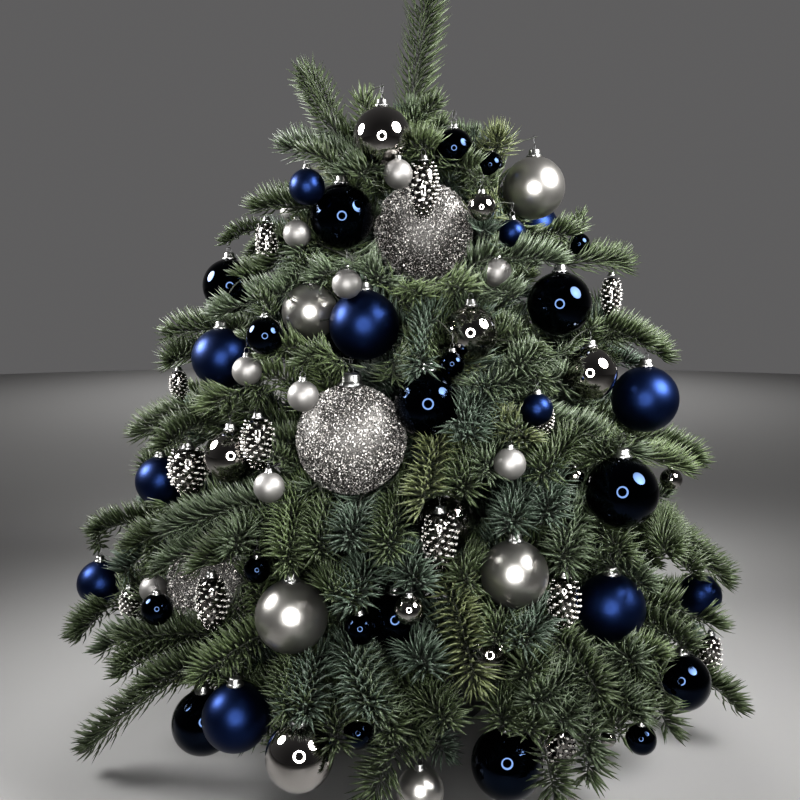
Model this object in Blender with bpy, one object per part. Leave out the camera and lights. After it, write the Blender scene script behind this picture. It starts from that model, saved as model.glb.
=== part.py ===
"""A small cut fir as a Christmas tree in a plain round stand.

Metres, +Z up. The origin is the centre of the stand's flat underside, and the front of the tree
faces -Y. Azimuths are in degrees, 0 at the front and 90 at +X. The trunk runs whole from its flat
cut to its tip. Boughs leave it in whorls, and each ends where it meets one spray of foliage. Every
spray grows by the same seeded rule: a stem, side shoots in pairs, and needles standing out of each
shoot's slim core.
"""

import math
import random

import bmesh
import bpy
from mathutils import Matrix, Quaternion, Vector

# Driving dimensions
TREE_TOP = 0.868
LEADER_LEAN = Vector((0.019, 0.0, 0.0))
LEADER_SIDE_SHOOT = 0.070
TRUNK_TOP = 0.690
TRUNK_FOOT_RADIUS = 0.021
TRUNK_TIP_RADIUS = 0.0042
TRUNK_TAPER_POWER = 0.9
TRUNK_SIDES = 16
TRUNK_RINGS = 9
TRUNK_SWAY = 0.003
GAP = 0.0003
SMOOTH_BELOW_ANGLE = math.radians(40)

# The crown's outline: its radius at some heights
CROWN_OUTLINE = (
    (0.06, 0.395),
    (0.17, 0.385),
    (0.31, 0.345),
    (0.45, 0.300),
    (0.55, 0.255),
    (0.65, 0.195),
    (0.76, 0.135),
)

# Whorls of boughs from the lowest up. A whorl with no bough radius holds its sprays on the trunk.
# name, count, first azimuth, root height, tip height, end slope, bough radius, side shoot, pairs
WHORLS = (
    ("low", 7, -62, 0.165, 0.075, -42, 0.0075, 0.150, 3),
    ("skirting", 6, -40, 0.245, 0.195, -30, 0.0070, 0.145, 3),
    ("middle", 5, -88, 0.335, 0.335, -16, 0.0062, 0.140, 3),
    ("shoulder", 4, -80, 0.420, 0.475, 4, 0.0052, 0.130, 3),
    ("high", 4, -45, 0.500, 0.610, 24, 0.0, 0.105, 2),
    ("crest", 4, -88, 0.590, 0.755, 55, 0.0, 0.080, 1),
)
AZIMUTH_JITTER = 5.0
REACH_JITTER = 0.03
HEIGHT_JITTER = 0.012
CURVE_HANDLE_SHARE = 0.35
BOUGH_SHARE = 0.42
BOUGH_STEPS = 4
BOUGH_SIDES = 6
BOUGH_TAPER = 0.6
FIRST_SEED = 120

# The rule that every spray follows
SHOOT_STATIONS = (0.08, 0.33, 0.58)
SHOOT_ANGLE = 52.0
SHOOT_ANGLE_JITTER = 4.0
SHOOT_LIFT = (-26, 30)
SHOOT_LENGTH_JITTER = (0.9, 1.1)
SHOOT_SHORTENING = 0.42
STEM_BARE_PAST_SHOOTS = 0.06
STEM_BARE_STEPS = 4
SPRAY_ROOT_RADIUS = 0.0032
SHOOT_CLEARANCE = 0.0215
SHOOT_FREE_SHARE = 0.4
MINGLE_SHARE = 0.6
LIMB_CLEARANCE = 0.004

# A shoot: a slim core of four sides in bands, and a needle drawn out of each face of a band. The
# core's radius is given at some shares of its length, and its first stretch has no needles.
CORE_SIDES = 4
CORE_PROFILE = ((0.0, 0.0024), (0.18, 0.0050), (0.45, 0.0066), (0.75, 0.0052), (1.0, 0.0010))
CORE_BARE_SHARE = 0.18
CORE_TWIST = 30.0
BAND_LENGTH = 0.034
NEEDLE_SPREAD = 0.0145
NEEDLE_FORWARD = 0.0130
NEEDLE_TIP_SIZE = 0.6
TIP_NEEDLES = 0.012

# Stand
STAND_FOOT_RADIUS = 0.100
STAND_RIM_RADIUS = 0.113
STAND_HEIGHT = 0.092
STAND_EDGE = 0.006
STAND_RIM_CHAMFER = 0.002
STAND_SEGMENTS = 32
STAND_CLEARANCE = 0.020
COLLAR_INNER_RADIUS = 0.0250
COLLAR_OUTER_RADIUS = 0.0320
COLLAR_HEIGHT = 0.034
COLLAR_CHAMFER = 0.002
COLLAR_SEGMENTS = 24
SCREW_COUNT = 3
SCREW_FIRST_AZIMUTH = 30
SCREW_HEIGHT = 0.020
SCREW_RADIUS = 0.0030
SCREW_REACH = 0.048
SCREW_SIDES = 12
SCREW_HOLE_OVERRUN = 0.004
KNOB_RADIUS = 0.0090
KNOB_THICKNESS = 0.007
KNOB_SIDES = 16

TRUNK_FOOT = STAND_HEIGHT + GAP
SCREW_LEVEL = TRUNK_FOOT + SCREW_HEIGHT
END_RADIUS_MOST = 0.006
UP = Vector((0, 0, 1))


def clear_scene():
    for old in list(bpy.data.objects):
        bpy.data.objects.remove(old, do_unlink=True)


def material(name, colour, roughness, metallic=0.0):
    made = bpy.data.materials.new(name)
    made.use_nodes = True
    shader = made.node_tree.nodes["Principled BSDF"]
    shader.inputs["Base Color"].default_value = (*colour, 1.0)
    shader.inputs["Roughness"].default_value = roughness
    shader.inputs["Metallic"].default_value = metallic
    made.diffuse_color = (*colour, 1.0)
    return made


def object_from(bm, name, finish):
    """Turns a bmesh into a named object in the scene."""
    bmesh.ops.recalc_face_normals(bm, faces=bm.faces)
    mesh = bpy.data.meshes.new(name)
    bm.to_mesh(mesh)
    bm.free()
    mesh.materials.append(finish)
    made = bpy.data.objects.new(name, mesh)
    bpy.context.scene.collection.objects.link(made)
    return made


# Limbs
def ring_places(centres, ways, radii, twist):
    """A matrix for each ring along a line, square to its way and scaled to the radius there."""
    turn = UP.rotation_difference(ways[0])
    twisted = Quaternion(UP, math.radians(twist))
    places = []
    for centre, radius, last, way in zip(centres, radii, [ways[0], *ways], ways):
        turn = last.rotation_difference(way) @ turn @ twisted
        size = Matrix.Diagonal((radius, radius, radius, 1.0))
        places.append(Matrix.Translation(centre) @ turn.to_matrix().to_4x4() @ size)
    return places


def add_limb(bm, centres, ways, radii, sides, twist=0.0):
    """Adds one closed limb, a disc extruded through the centres, and gives its bands of faces."""
    places = ring_places(centres, ways, radii, twist)
    disc = bmesh.ops.create_circle(bm, cap_ends=True, segments=sides, radius=1.0, matrix=places[0])
    face = foot = disc["verts"][0].link_faces[0]
    bands = []
    for last, place in zip(places, places[1:]):
        grown = bmesh.ops.extrude_face_region(bm, geom=[face])["geom"]
        corners = [item for item in grown if isinstance(item, bmesh.types.BMVert)]
        bmesh.ops.transform(bm, matrix=place @ last.inverted(), verts=corners)
        if face != foot:
            bmesh.ops.delete(bm, geom=[face], context="FACES_ONLY")
        face = next(item for item in grown if isinstance(item, bmesh.types.BMFace))
        bands.append({side for corner in corners for side in corner.link_faces} - {face})
    return bands


def smooth(made):
    made.data.shade_smooth()
    made.data.set_sharp_from_angle(angle=SMOOTH_BELOW_ANGLE)


def make_limb(name, centres, ways, radii, sides, finish):
    bm = bmesh.new()
    add_limb(bm, centres, ways, radii, sides)
    smooth(object_from(bm, name, finish))


# The tree's lines
def blend(low, high, share):
    return low + (high - low) * share


def crown_radius(height):
    """The crown's radius at a height, read from its outline."""
    for (z0, r0), (z1, r1) in zip(CROWN_OUTLINE, CROWN_OUTLINE[1:]):
        if height <= z1:
            return blend(r0, r1, (height - z0) / (z1 - z0))
    return CROWN_OUTLINE[-1][1]


def trunk_share(height):
    return (height - TRUNK_FOOT) / (TRUNK_TOP - TRUNK_FOOT)


def trunk_radius(height):
    taper = trunk_share(height) ** TRUNK_TAPER_POWER
    return blend(TRUNK_FOOT_RADIUS, TRUNK_TIP_RADIUS, taper)


def trunk_centre(height):
    """The trunk's middle: upright at the foot, with a slight sway above."""
    share = trunk_share(height)
    sway = TRUNK_SWAY * math.sin(2 * math.pi * share) * share
    return Vector((sway, -sway / 2, height))


def outward(azimuth):
    angle = math.radians(azimuth)
    return Vector((math.sin(angle), -math.cos(angle), 0))


def curve_point(line, t):
    """A point on a cubic curve that four points steer."""
    s = 1 - t
    a, b, c, d = line
    return a * s**3 + b * (3 * s * s * t) + c * (3 * s * t * t) + d * t**3


def curve_way(line, t):
    """The curve's direction at t."""
    step = 0.01
    return (curve_point(line, t + step) - curve_point(line, t - step)).normalized()


def curve_rings(line, start, end, steps):
    """Centres along a stretch of the curve, and the curve's direction at each."""
    stops = [blend(start, end, i / steps) for i in range(steps + 1)]
    return [curve_point(line, t) for t in stops], [curve_way(line, t) for t in stops]


def branch_line(whorl, number, seed):
    """The line of one bough and its spray, from the trunk's bark to the furthest tip."""
    count, first, root_height, tip_height, slope = whorl[1:6]
    chance = random.Random(seed)
    azimuth = first + number * 360 / count + chance.uniform(-AZIMUTH_JITTER, AZIMUTH_JITTER)
    tip_height += chance.uniform(-HEIGHT_JITTER, HEIGHT_JITTER)
    reach = crown_radius(tip_height) * (1 + chance.uniform(-REACH_JITTER, REACH_JITTER))
    reach -= TIP_NEEDLES
    out = outward(azimuth)
    centre = trunk_centre(root_height)
    root = centre + out * (trunk_radius(root_height) + GAP)
    tip = Vector((0, 0, tip_height)) + out * reach
    handle = CURVE_HANDLE_SHARE * (tip - root).length
    angle = math.radians(slope)
    end_way = out * math.cos(angle) + UP * math.sin(angle)
    return root, root + out * handle, tip - end_way * handle, tip


# Room that is taken
def string_of_balls(start, end, radius):
    """Balls along a straight line, close enough to stand for the room round it."""
    count = max(2, math.ceil((end - start).length / radius) + 1)
    return [(start.lerp(end, i / (count - 1)), radius) for i in range(count)]


class Room:
    """Balls strung along all that is already in place, so that nothing new touches it."""

    def __init__(self):
        self.balls = []

    def take(self, balls):
        self.balls.extend(balls)

    def take_limb(self, centres, radii):
        for start, end, radius in zip(centres, centres[1:], radii):
            self.take(string_of_balls(start, end, radius + LIMB_CLEARANCE))

    def is_free(self, balls):
        return not any(
            (centre - taken).length < radius + taken_radius
            for centre, radius in balls
            for taken, taken_radius in self.balls
        )


def mingle(balls, others):
    """Whether two shoots of one spray run so close that their needles would tangle."""
    return any(
        (centre - other).length < (radius + other_radius) * MINGLE_SHARE
        for centre, radius in balls
        for other, other_radius in others
    )


# Sprays
def stem_rings(line, start, bare_share):
    """Centres, ways and shares of the rings of a spray's stem, which ends as a shoot."""
    length = (line[3] - curve_point(line, start)).length
    bare = [blend(0.0, bare_share, i / STEM_BARE_STEPS) for i in range(STEM_BARE_STEPS)]
    stops = bare + band_stops(length, bare_share)
    places = [blend(start, 1.0, stop) for stop in stops]
    return [curve_point(line, t) for t in places], [curve_way(line, t) for t in places], stops


def side_shoots(rings, shoot_length, stations, seed):
    """The root and tip of each side shoot, in pairs along the stem, shorter towards its tip."""
    centres, ways, stops = rings
    shoots = []
    for station, share in enumerate(stations):
        ring = next(i for i, stop in enumerate(stops) if stop > share) - 1
        between = (share - stops[ring]) / (stops[ring + 1] - stops[ring])
        root = centres[ring].lerp(centres[ring + 1], between)
        way = ways[ring].lerp(ways[ring + 1], between).normalized()
        across = way.cross(UP).normalized()
        normal = across.cross(way)
        for side in (-1, 1):
            chance = random.Random(seed * 1000 + station * 10 + side)
            jitter = chance.uniform(-SHOOT_ANGLE_JITTER, SHOOT_ANGLE_JITTER)
            angle = math.radians(SHOOT_ANGLE + jitter)
            lift = math.sin(math.radians(chance.uniform(*SHOOT_LIFT)))
            length = shoot_length * (1 - SHOOT_SHORTENING * share)
            length *= chance.uniform(*SHOOT_LENGTH_JITTER)
            heading = way * math.cos(angle) + across * (side * math.sin(angle)) + normal * lift
            shoots.append((root, root + heading.normalized() * length))
    return shoots


def core_radius(share):
    """The radius of a shoot's core, at a share of its length."""
    for (s0, r0), (s1, r1) in zip(CORE_PROFILE, CORE_PROFILE[1:]):
        if share <= s1:
            return blend(r0, r1, (share - s0) / (s1 - s0))
    return CORE_PROFILE[-1][1]


def band_stops(length, bare_share):
    """Where the rings of a shoot's even bands lie, as shares from its bare stretch to its tip."""
    bands = max(2, round(length * (1 - bare_share) / BAND_LENGTH))
    return [blend(bare_share, 1.0, i / bands) for i in range(bands + 1)]


def draw_needles(bm, bands, centres, ways, stops):
    """Pokes each face of a band and draws its new point outwards and forwards, as a needle."""
    rings = list(zip(centres, ways, stops))
    for band, (centre, way, stop) in zip(bands, rings):
        size = blend(1.0, NEEDLE_TIP_SIZE, stop)
        for point in bmesh.ops.poke(bm, faces=list(band))["verts"]:
            from_ring = point.co - centre
            out = (from_ring - way * way.dot(from_ring)).normalized()
            point.co += (out * NEEDLE_SPREAD + way * NEEDLE_FORWARD) * size


def shoot_piece(name, rings, radii, bare_rings, finish):
    """A shoot: a limb whose bands past its bare rings are drawn out to needles."""
    centres, ways, stops = rings
    bm = bmesh.new()
    bands = add_limb(bm, centres, ways, radii, CORE_SIDES, CORE_TWIST)
    first = bare_rings
    draw_needles(bm, bands[first:], centres[first:], ways[first:], stops[first:])
    bmesh.ops.triangulate(bm, faces=bm.faces)
    return object_from(bm, name, finish)


def stem_radius(stop, bare_share, root_radius):
    """The stem's radius: slim from its root to its last pair of shoots, and then a shoot's core."""
    bare_radius = core_radius(CORE_BARE_SHARE)
    if stop < bare_share:
        return blend(root_radius, bare_radius, stop / bare_share)
    shoot_share = (stop - bare_share) / (1 - bare_share)
    return core_radius(blend(CORE_BARE_SHARE, 1.0, shoot_share))


def stem_piece(name, rings, bare_share, root_radius, has_bough, finish):
    """A spray's stem, cut clear of its bough's tip, and the two ends of its line."""
    centres, ways, stops = rings
    centres = list(centres)
    if has_bough:
        centres[0] += ways[0] * GAP
    centres[-1] += ways[-1] * TIP_NEEDLES
    radii = [stem_radius(stop, bare_share, root_radius) for stop in stops]
    stem = shoot_piece(name, (centres, ways, stops), radii, STEM_BARE_STEPS, finish)
    return stem, (centres[0], centres[-1])


def side_piece(name, root, tip, finish):
    """A straight side shoot, its root sunk in the stem's middle."""
    way = (tip - root).normalized()
    end = tip + way * TIP_NEEDLES
    stops = [0.0] + band_stops((end - root).length, CORE_BARE_SHARE)
    centres = [root.lerp(end, stop) for stop in stops]
    radii = [core_radius(stop) for stop in stops]
    return shoot_piece(name, (centres, [way] * len(centres), stops), radii, 1, finish)


def keep_largest_body(mesh):
    """Drops the loose scraps and the walls of sealed pockets that a union can leave."""
    bm = bmesh.new()
    bm.from_mesh(mesh)
    bmesh.ops.triangulate(bm, faces=bm.faces)
    left = set(bm.faces)
    bodies = []
    while left:
        body = {left.pop()}
        fresh = body
        while fresh:
            shared = {edge for face in fresh for edge in face.edges if len(edge.link_faces) == 2}
            fresh = {face for edge in shared for face in edge.link_faces} & left
            left -= fresh
            body = body | fresh
        bodies.append(body)
    bodies.sort(key=len)
    scraps = [face for body in bodies[:-1] for face in body]
    bmesh.ops.delete(bm, geom=scraps, context="FACES")
    bm.to_mesh(mesh)
    bm.free()


def reaches(mesh, point):
    """Whether the mesh still has a corner at an end of the limb that it was made from."""
    return any((vert.co - point).length < END_RADIUS_MOST for vert in mesh.vertices)


def fuse(stem, pieces, ends):
    """Joins the pieces to the stem by one Boolean union on their collection, and removes them."""
    group = bpy.data.collections.new(stem.name + "_pieces")
    bpy.context.scene.collection.children.link(group)
    for piece in pieces:
        bpy.context.scene.collection.objects.unlink(piece)
        group.objects.link(piece)
    union = stem.modifiers.new("Joined pieces", "BOOLEAN")
    union.operation = "UNION"
    union.operand_type = "COLLECTION"
    union.collection = group
    for solver in ("EXACT", "MANIFOLD"):
        union.solver = solver
        graph = bpy.context.evaluated_depsgraph_get()
        whole = bpy.data.meshes.new_from_object(stem.evaluated_get(graph))
        keep_largest_body(whole)
        if all(reaches(whole, end) for end in ends):
            break
    stem.modifiers.clear()
    stem.data = whole
    for piece in pieces:
        bpy.data.objects.remove(piece, do_unlink=True)
    bpy.data.collections.remove(group)


def make_spray(name, line, start, shape, room, finish):
    """One spray: its stem, its side shoots where there is room, and their needles, as one solid."""
    bough_radius, shoot_length, pairs, seed = shape
    stations = SHOOT_STATIONS[:pairs]
    bare_share = stations[-1] + STEM_BARE_PAST_SHOOTS
    rings = stem_rings(line, start, bare_share)
    root_radius = bough_radius * BOUGH_TAPER if bough_radius else SPRAY_ROOT_RADIUS
    stem, ends = stem_piece(name, rings, bare_share, root_radius, bough_radius > 0, finish)
    taken = [string_of_balls(rings[0][STEM_BARE_STEPS], rings[0][-1], SHOOT_CLEARANCE)]
    pieces = []
    for number, (foot, tip) in enumerate(side_shoots(rings, shoot_length, stations, seed)):
        outer = string_of_balls(foot.lerp(tip, SHOOT_FREE_SHARE), tip, SHOOT_CLEARANCE)
        if room.is_free(outer) and not any(mingle(outer, other) for other in taken):
            taken.append(outer)
            pieces.append(side_piece(f"shoot_{number}", foot, tip, finish))
    for balls in taken:
        room.take(balls)
    fuse(stem, pieces, ends)


# Trunk, boughs and foliage
def make_trunk(room, bark):
    heights = [blend(TRUNK_FOOT, TRUNK_TOP, i / TRUNK_RINGS) for i in range(TRUNK_RINGS + 1)]
    centres = [trunk_centre(height) for height in heights]
    radii = [trunk_radius(height) for height in heights]
    room.take_limb(centres, radii)
    make_limb("trunk", centres, [UP] * len(centres), radii, TRUNK_SIDES, bark)


def make_bough(name, line, radius, room, bark):
    centres, ways = curve_rings(line, 0.0, BOUGH_SHARE, BOUGH_STEPS)
    radii = [radius * blend(1.0, BOUGH_TAPER, i / BOUGH_STEPS) for i in range(BOUGH_STEPS + 1)]
    room.take_limb(centres, radii)
    make_limb(name, centres, ways, radii, BOUGH_SIDES, bark)


def make_whorls(room, bark, foliage):
    """All boughs first, so that every spray keeps clear of them, and then the sprays."""
    planned = []
    for level, whorl in enumerate(WHORLS):
        title, count, *_, bough_radius, shoot_length, pairs = whorl
        for number in range(count):
            seed = FIRST_SEED + 100 * level + number
            line = branch_line(whorl, number, seed)
            if bough_radius:
                make_bough(f"bough_{title}_{number + 1}", line, bough_radius, room, bark)
            start = BOUGH_SHARE if bough_radius else 0.0
            shape = (bough_radius, shoot_length, pairs, seed)
            planned.append((f"foliage_{title}_{number + 1}", line, start, shape))
    for name, line, start, shape in planned:
        make_spray(name, line, start, shape, room, foliage)


def make_leader(room, foliage):
    """The shoot that carries the tree on from the trunk's tip, with a whorl at its foot."""
    root = trunk_centre(TRUNK_TOP) + UP * GAP
    tip = trunk_centre(TRUNK_TOP) + LEADER_LEAN
    tip.z = TREE_TOP - TIP_NEEDLES
    line = (root, root.lerp(tip, 0.33) - LEADER_LEAN / 4, root.lerp(tip, 0.66), tip)
    make_spray("foliage_leader", line, 0.0, (0.0, LEADER_SIDE_SHOOT, 1, FIRST_SEED), room, foliage)


# Stand
def turned_object(name, profile, segments, finish):
    """A solid of revolution about Z from a profile of (radius, height) pairs."""
    bm = bmesh.new()
    corners = [bm.verts.new((radius, 0, height)) for radius, height in profile]
    edges = [bm.edges.new(pair) for pair in zip(corners, corners[1:])]
    bmesh.ops.spin(
        bm, geom=corners + edges, cent=(0, 0, 0), axis=(0, 0, 1), angle=2 * math.pi,
        steps=segments, use_merge=True,
    )
    bmesh.ops.remove_doubles(bm, verts=bm.verts, dist=1e-6)
    made = object_from(bm, name, finish)
    smooth(made)
    return made


def make_stand_base(finish):
    """The weighted foot: flat below, its lower edge rounded, a little wider at the rim."""
    edge = STAND_EDGE
    profile = [(0, 0), (STAND_FOOT_RADIUS - edge, 0)]
    for degrees in (30, 60, 90):
        angle = math.radians(degrees)
        radius = STAND_FOOT_RADIUS - edge + edge * math.sin(angle)
        profile.append((radius, edge * (1 - math.cos(angle))))
    profile += [
        (STAND_RIM_RADIUS, STAND_HEIGHT - STAND_RIM_CHAMFER),
        (STAND_RIM_RADIUS - STAND_RIM_CHAMFER, STAND_HEIGHT),
        (0, STAND_HEIGHT),
    ]
    turned_object("stand_base", profile, STAND_SEGMENTS, finish)


def screw_turn(number):
    """The turn about the trunk that brings a piece along +X to one screw's azimuth."""
    return Matrix.Rotation(math.radians(SCREW_FIRST_AZIMUTH + number * 360 / SCREW_COUNT), 4, "Z")


def radial_rod(name, radius, inner, outer, number, sides, finish):
    """A rod that points at the trunk, between two distances from the axis, at one screw's place."""
    middle = Matrix.Translation(((inner + outer) / 2, 0, SCREW_LEVEL))
    place = screw_turn(number) @ middle @ Matrix.Rotation(math.radians(90), 4, "Y")
    bm = bmesh.new()
    bmesh.ops.create_cone(
        bm, cap_ends=True, segments=sides, radius1=radius, radius2=radius,
        depth=outer - inner, matrix=place,
    )
    return object_from(bm, name, finish)


def make_collar(finish):
    """The ring round the trunk's foot, with a hole for each screw."""
    low, high = TRUNK_FOOT, TRUNK_FOOT + COLLAR_HEIGHT
    profile = [
        (COLLAR_INNER_RADIUS, low),
        (COLLAR_OUTER_RADIUS, low),
        (COLLAR_OUTER_RADIUS, high - COLLAR_CHAMFER),
        (COLLAR_OUTER_RADIUS - COLLAR_CHAMFER, high),
        (COLLAR_INNER_RADIUS, high),
        (COLLAR_INNER_RADIUS, low),
    ]
    collar = turned_object("stand_collar", profile, COLLAR_SEGMENTS, finish)
    inner = COLLAR_INNER_RADIUS - SCREW_HOLE_OVERRUN
    outer = COLLAR_OUTER_RADIUS + SCREW_HOLE_OVERRUN
    for number in range(SCREW_COUNT):
        name = f"screw_hole_{number + 1}"
        cutter = radial_rod(name, SCREW_RADIUS + GAP, inner, outer, number, SCREW_SIDES, finish)
        cutter.hide_render = True
        cutter.display_type = "WIRE"
        hole = collar.modifiers.new(f"Screw hole {number + 1}", "BOOLEAN")
        hole.operation = "DIFFERENCE"
        hole.object = cutter
        hole.solver = "EXACT"


def make_screws(finish):
    """Thumb screws that hold the trunk upright in the collar."""
    tip = trunk_radius(SCREW_LEVEL) + GAP
    knob_start = SCREW_REACH - KNOB_THICKNESS
    for number in range(SCREW_COUNT):
        name = f"stand_screw_{number + 1}"
        screw = radial_rod(name, SCREW_RADIUS, tip, SCREW_REACH, number, SCREW_SIDES, finish)
        knob = radial_rod("knob", KNOB_RADIUS, knob_start, SCREW_REACH, number, KNOB_SIDES, finish)
        fuse(screw, [knob], [screw_turn(number) @ Vector((tip, 0, SCREW_LEVEL))])


def main():
    clear_scene()
    bark = material("bark", (0.16, 0.10, 0.065), 0.9)
    needles = material("fir needles", (0.11, 0.20, 0.15), 0.6)
    black = material("black stand", (0.015, 0.015, 0.017), 0.45)
    steel = material("zinc plated screws", (0.6, 0.6, 0.62), 0.35, 1.0)
    room = Room()
    room.take([(Vector((0, 0, 0)), STAND_RIM_RADIUS + STAND_CLEARANCE)])
    make_stand_base(black)
    make_collar(black)
    make_screws(steel)
    make_trunk(room, bark)
    make_whorls(room, bark, needles)
    make_leader(room, needles)


main()
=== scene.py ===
"""The looks of a small cut fir that is dressed as a Christmas tree and stands in a round stand.

Everything is in metres, +Z up. The origin is the centre of the stand's flat underside, and the front
of the tree faces -Y. The limbs follow the same named sizes and seeded rule as the solids that they
replace, and carry that rule on to finer shoots. Azimuths are in degrees, 0 at the front and 90 at +X.
"""

import collections
import functools
import itertools
import math
import random

import bmesh
import bpy
import numpy as np
from mathutils import Matrix, Vector, noise


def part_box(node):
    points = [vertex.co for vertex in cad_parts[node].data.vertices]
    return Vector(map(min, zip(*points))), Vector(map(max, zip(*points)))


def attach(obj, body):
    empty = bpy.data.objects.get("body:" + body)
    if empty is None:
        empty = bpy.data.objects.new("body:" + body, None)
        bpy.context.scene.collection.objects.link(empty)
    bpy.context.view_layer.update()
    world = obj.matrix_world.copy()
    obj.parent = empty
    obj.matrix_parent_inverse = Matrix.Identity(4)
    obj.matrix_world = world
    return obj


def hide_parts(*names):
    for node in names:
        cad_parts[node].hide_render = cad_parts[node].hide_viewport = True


bl_info = {
    "name": "Dressed Fir",
    "version": (1, 0, 0),
    "blender": (4, 5, 0),
    "location": "View3D > Sidebar > Fir",
    "description": "Grows a small fir's needles, twigs and bark, and hangs its balls and glass cones",
    "category": "Add Mesh",
}

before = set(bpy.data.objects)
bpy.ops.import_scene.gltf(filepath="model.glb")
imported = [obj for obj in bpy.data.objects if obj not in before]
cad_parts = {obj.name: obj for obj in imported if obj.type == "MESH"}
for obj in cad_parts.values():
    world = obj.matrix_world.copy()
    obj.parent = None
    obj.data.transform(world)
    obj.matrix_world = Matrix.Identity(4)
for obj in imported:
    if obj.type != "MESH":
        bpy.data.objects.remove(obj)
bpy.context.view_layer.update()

UP = Vector((0, 0, 1))

# The tree's lines, as in the solids
TREE_TOP = 0.868
LEADER_LEAN = Vector((0.019, 0.0, 0.0))
TRUNK_TOP = 0.690
TRUNK_FOOT = 0.0923
TRUNK_FOOT_RADIUS = 0.021
TRUNK_TIP_RADIUS = 0.0042
TRUNK_TAPER_POWER = 0.9
TRUNK_SWAY = 0.003
GAP = 0.0003
CROWN_OUTLINE = (
    (0.06, 0.395),
    (0.17, 0.385),
    (0.31, 0.345),
    (0.45, 0.300),
    (0.55, 0.255),
    (0.65, 0.195),
    (0.76, 0.135),
)
CROWN_TIP = (0.868, 0.012)
Whorl = collections.namedtuple(
    "Whorl", "title count first_azimuth root_height tip_height end_slope bough_radius side_shoot"
)
WHORLS = (
    Whorl("low", 7, -62, 0.165, 0.075, -42, 0.0075, 0.150),
    Whorl("skirting", 6, -40, 0.245, 0.195, -30, 0.0070, 0.145),
    Whorl("middle", 5, -88, 0.335, 0.335, -16, 0.0062, 0.140),
    Whorl("shoulder", 4, -80, 0.420, 0.475, 4, 0.0052, 0.130),
    Whorl("high", 4, -45, 0.500, 0.610, 24, 0.0, 0.105),
    Whorl("crest", 4, -88, 0.590, 0.755, 55, 0.0, 0.080),
)
AZIMUTH_JITTER = 5.0
REACH_JITTER = 0.03
HEIGHT_JITTER = 0.012
CURVE_HANDLE_SHARE = 0.35
BOUGH_SHARE = 0.42
BOUGH_TAPER = 0.6
FIRST_SEED = 120
TIP_NEEDLES = 0.012
SHOOT_ANGLE = 52.0
SHOOT_ANGLE_JITTER = 4.0
SHOOT_LIFT = (-26, 30)
SHOOT_LENGTH_JITTER = (0.9, 1.1)
SHOOT_SHORTENING = 0.42

# Finer shoots: the solids' three stations come first, so that they keep their seeds
STATIONS = (0.08, 0.33, 0.58, 0.205, 0.455, 0.705)
SOLID_STATIONS = 3
FINER_LIFT = (-34, 40)
FINER_LENGTH = 0.92
UPPER_STATIONS = (0.12, 0.34, 0.56, 0.78)
UPPER_ANGLE = (32, 62)
UPPER_ASIDE = (-0.5, 0.5)
UPPER_LENGTH = 0.62
UPPER_LENGTH_JITTER = (0.8, 1.15)
UPPER_TIP_LIFT = -0.10
SUB_STATION = 0.45
SUB_SHOOT_LEAST = 0.095
SUB_SHOOT_LENGTH = 0.42
SUB_LENGTH_JITTER = (0.85, 1.2)
SUB_ANGLE = (40, 56)
SUB_LIFT = (-0.15, 0.35)
SUB_SIZE = 0.92
INNER_STATIONS = (0.12, 0.20, 0.28, 0.36, 0.44)
INNER_LENGTH = 0.11
INNER_LENGTH_JITTER = (0.8, 1.3)
INNER_ASIDE = (0.6, 1.2)
INNER_LIFT = (-0.5, 0.9)
TRUNK_SHOOTS = 110
TRUNK_SHOOTS_FROM = 0.20
TRUNK_SHOOTS_BELOW_TOP = 0.02
TRUNK_SHOOT_LENGTH = (0.08, 0.15)
TRUNK_SHOOT_RISE = (0.0, 0.7)
TRUNK_SHOOT_ROOT_SHARE = 0.9
LEADER_SHOOTS = 5
LEADER_SHOOT_AZIMUTH = 30
LEADER_SHOOT_LENGTH = 0.055
LEADER_LENGTH_JITTER = (0.8, 1.2)
LEADER_SHOOT_RISE = 0.6
LEADER_SHOOT_LIFT = 0.1
LEADER_SIZE = 1.52
LOWEST_SHOOT = 0.012
# How far shoots bend up at their tips, at the crown's foot and at this height and above
TIP_LIFT = (-0.16, 0.22)
TIP_LIFT_HEIGHT = 0.7
PAIR_TIP_LIFT_SHARE = 0.5
SUB_TIP_LIFT_SHARE = 0.4
# The share of a shoot that is bare at its foot
LEADING_BARE = 0.04
STEM_BARE = 0.06
PAIR_BARE = 0.08
SHOOT_BARE = 0.10
INNER_BARE = 0.12
# Radii of twigs at their feet
STEM_RADIUS = 0.0032
LEADER_RADIUS = 0.0028
TWIG_RADIUS = 0.0016
INNER_TWIG_RADIUS = 0.0014
FRONT_TWIG_RADIUS = 0.0013
SUB_TWIG_RADIUS = 0.0012
CARRIER_RADIUS = 0.0009
# Radii at the tips: long twigs keep a share, and short ones end at one size
LONG_TWIG_POINTS = 12
LONG_TWIG_TIP_SHARE = 0.4
SHORT_TWIG_TIP_RADIUS = 0.0007
# Steps from point to point along shoots
STEM_STEPS = 18
LEADER_STEPS = 14
SHOOT_STEPS = 7
SUB_SHOOT_STEPS = 5
INNER_STEPS = 4
# Degrees from one shoot or needle to the next, and the finer value for many flakes or scales
GOLDEN_ANGLE = 137.5
FINE_GOLDEN_ANGLE = 137.508

# Rings of a needle: place along it and size. Inner needles are plainer and larger.
NEEDLE_RINGS = ((-0.06, 0.0), (0.52, 1.0), (1.0, 0.0))
INNER_NEEDLE_RINGS = ((0.0, 1.0), (1.0, 0.0))
INNER_NEEDLE_LENGTH = 1.25
INNER_NEEDLE_WIDTH = 1.7
NEEDLE_THICKNESS = 0.6
LOWEST_NEEDLE = 0.001
# How much closer the needles stand towards a shoot's tip
TIP_CROWDING = 1.15
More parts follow.
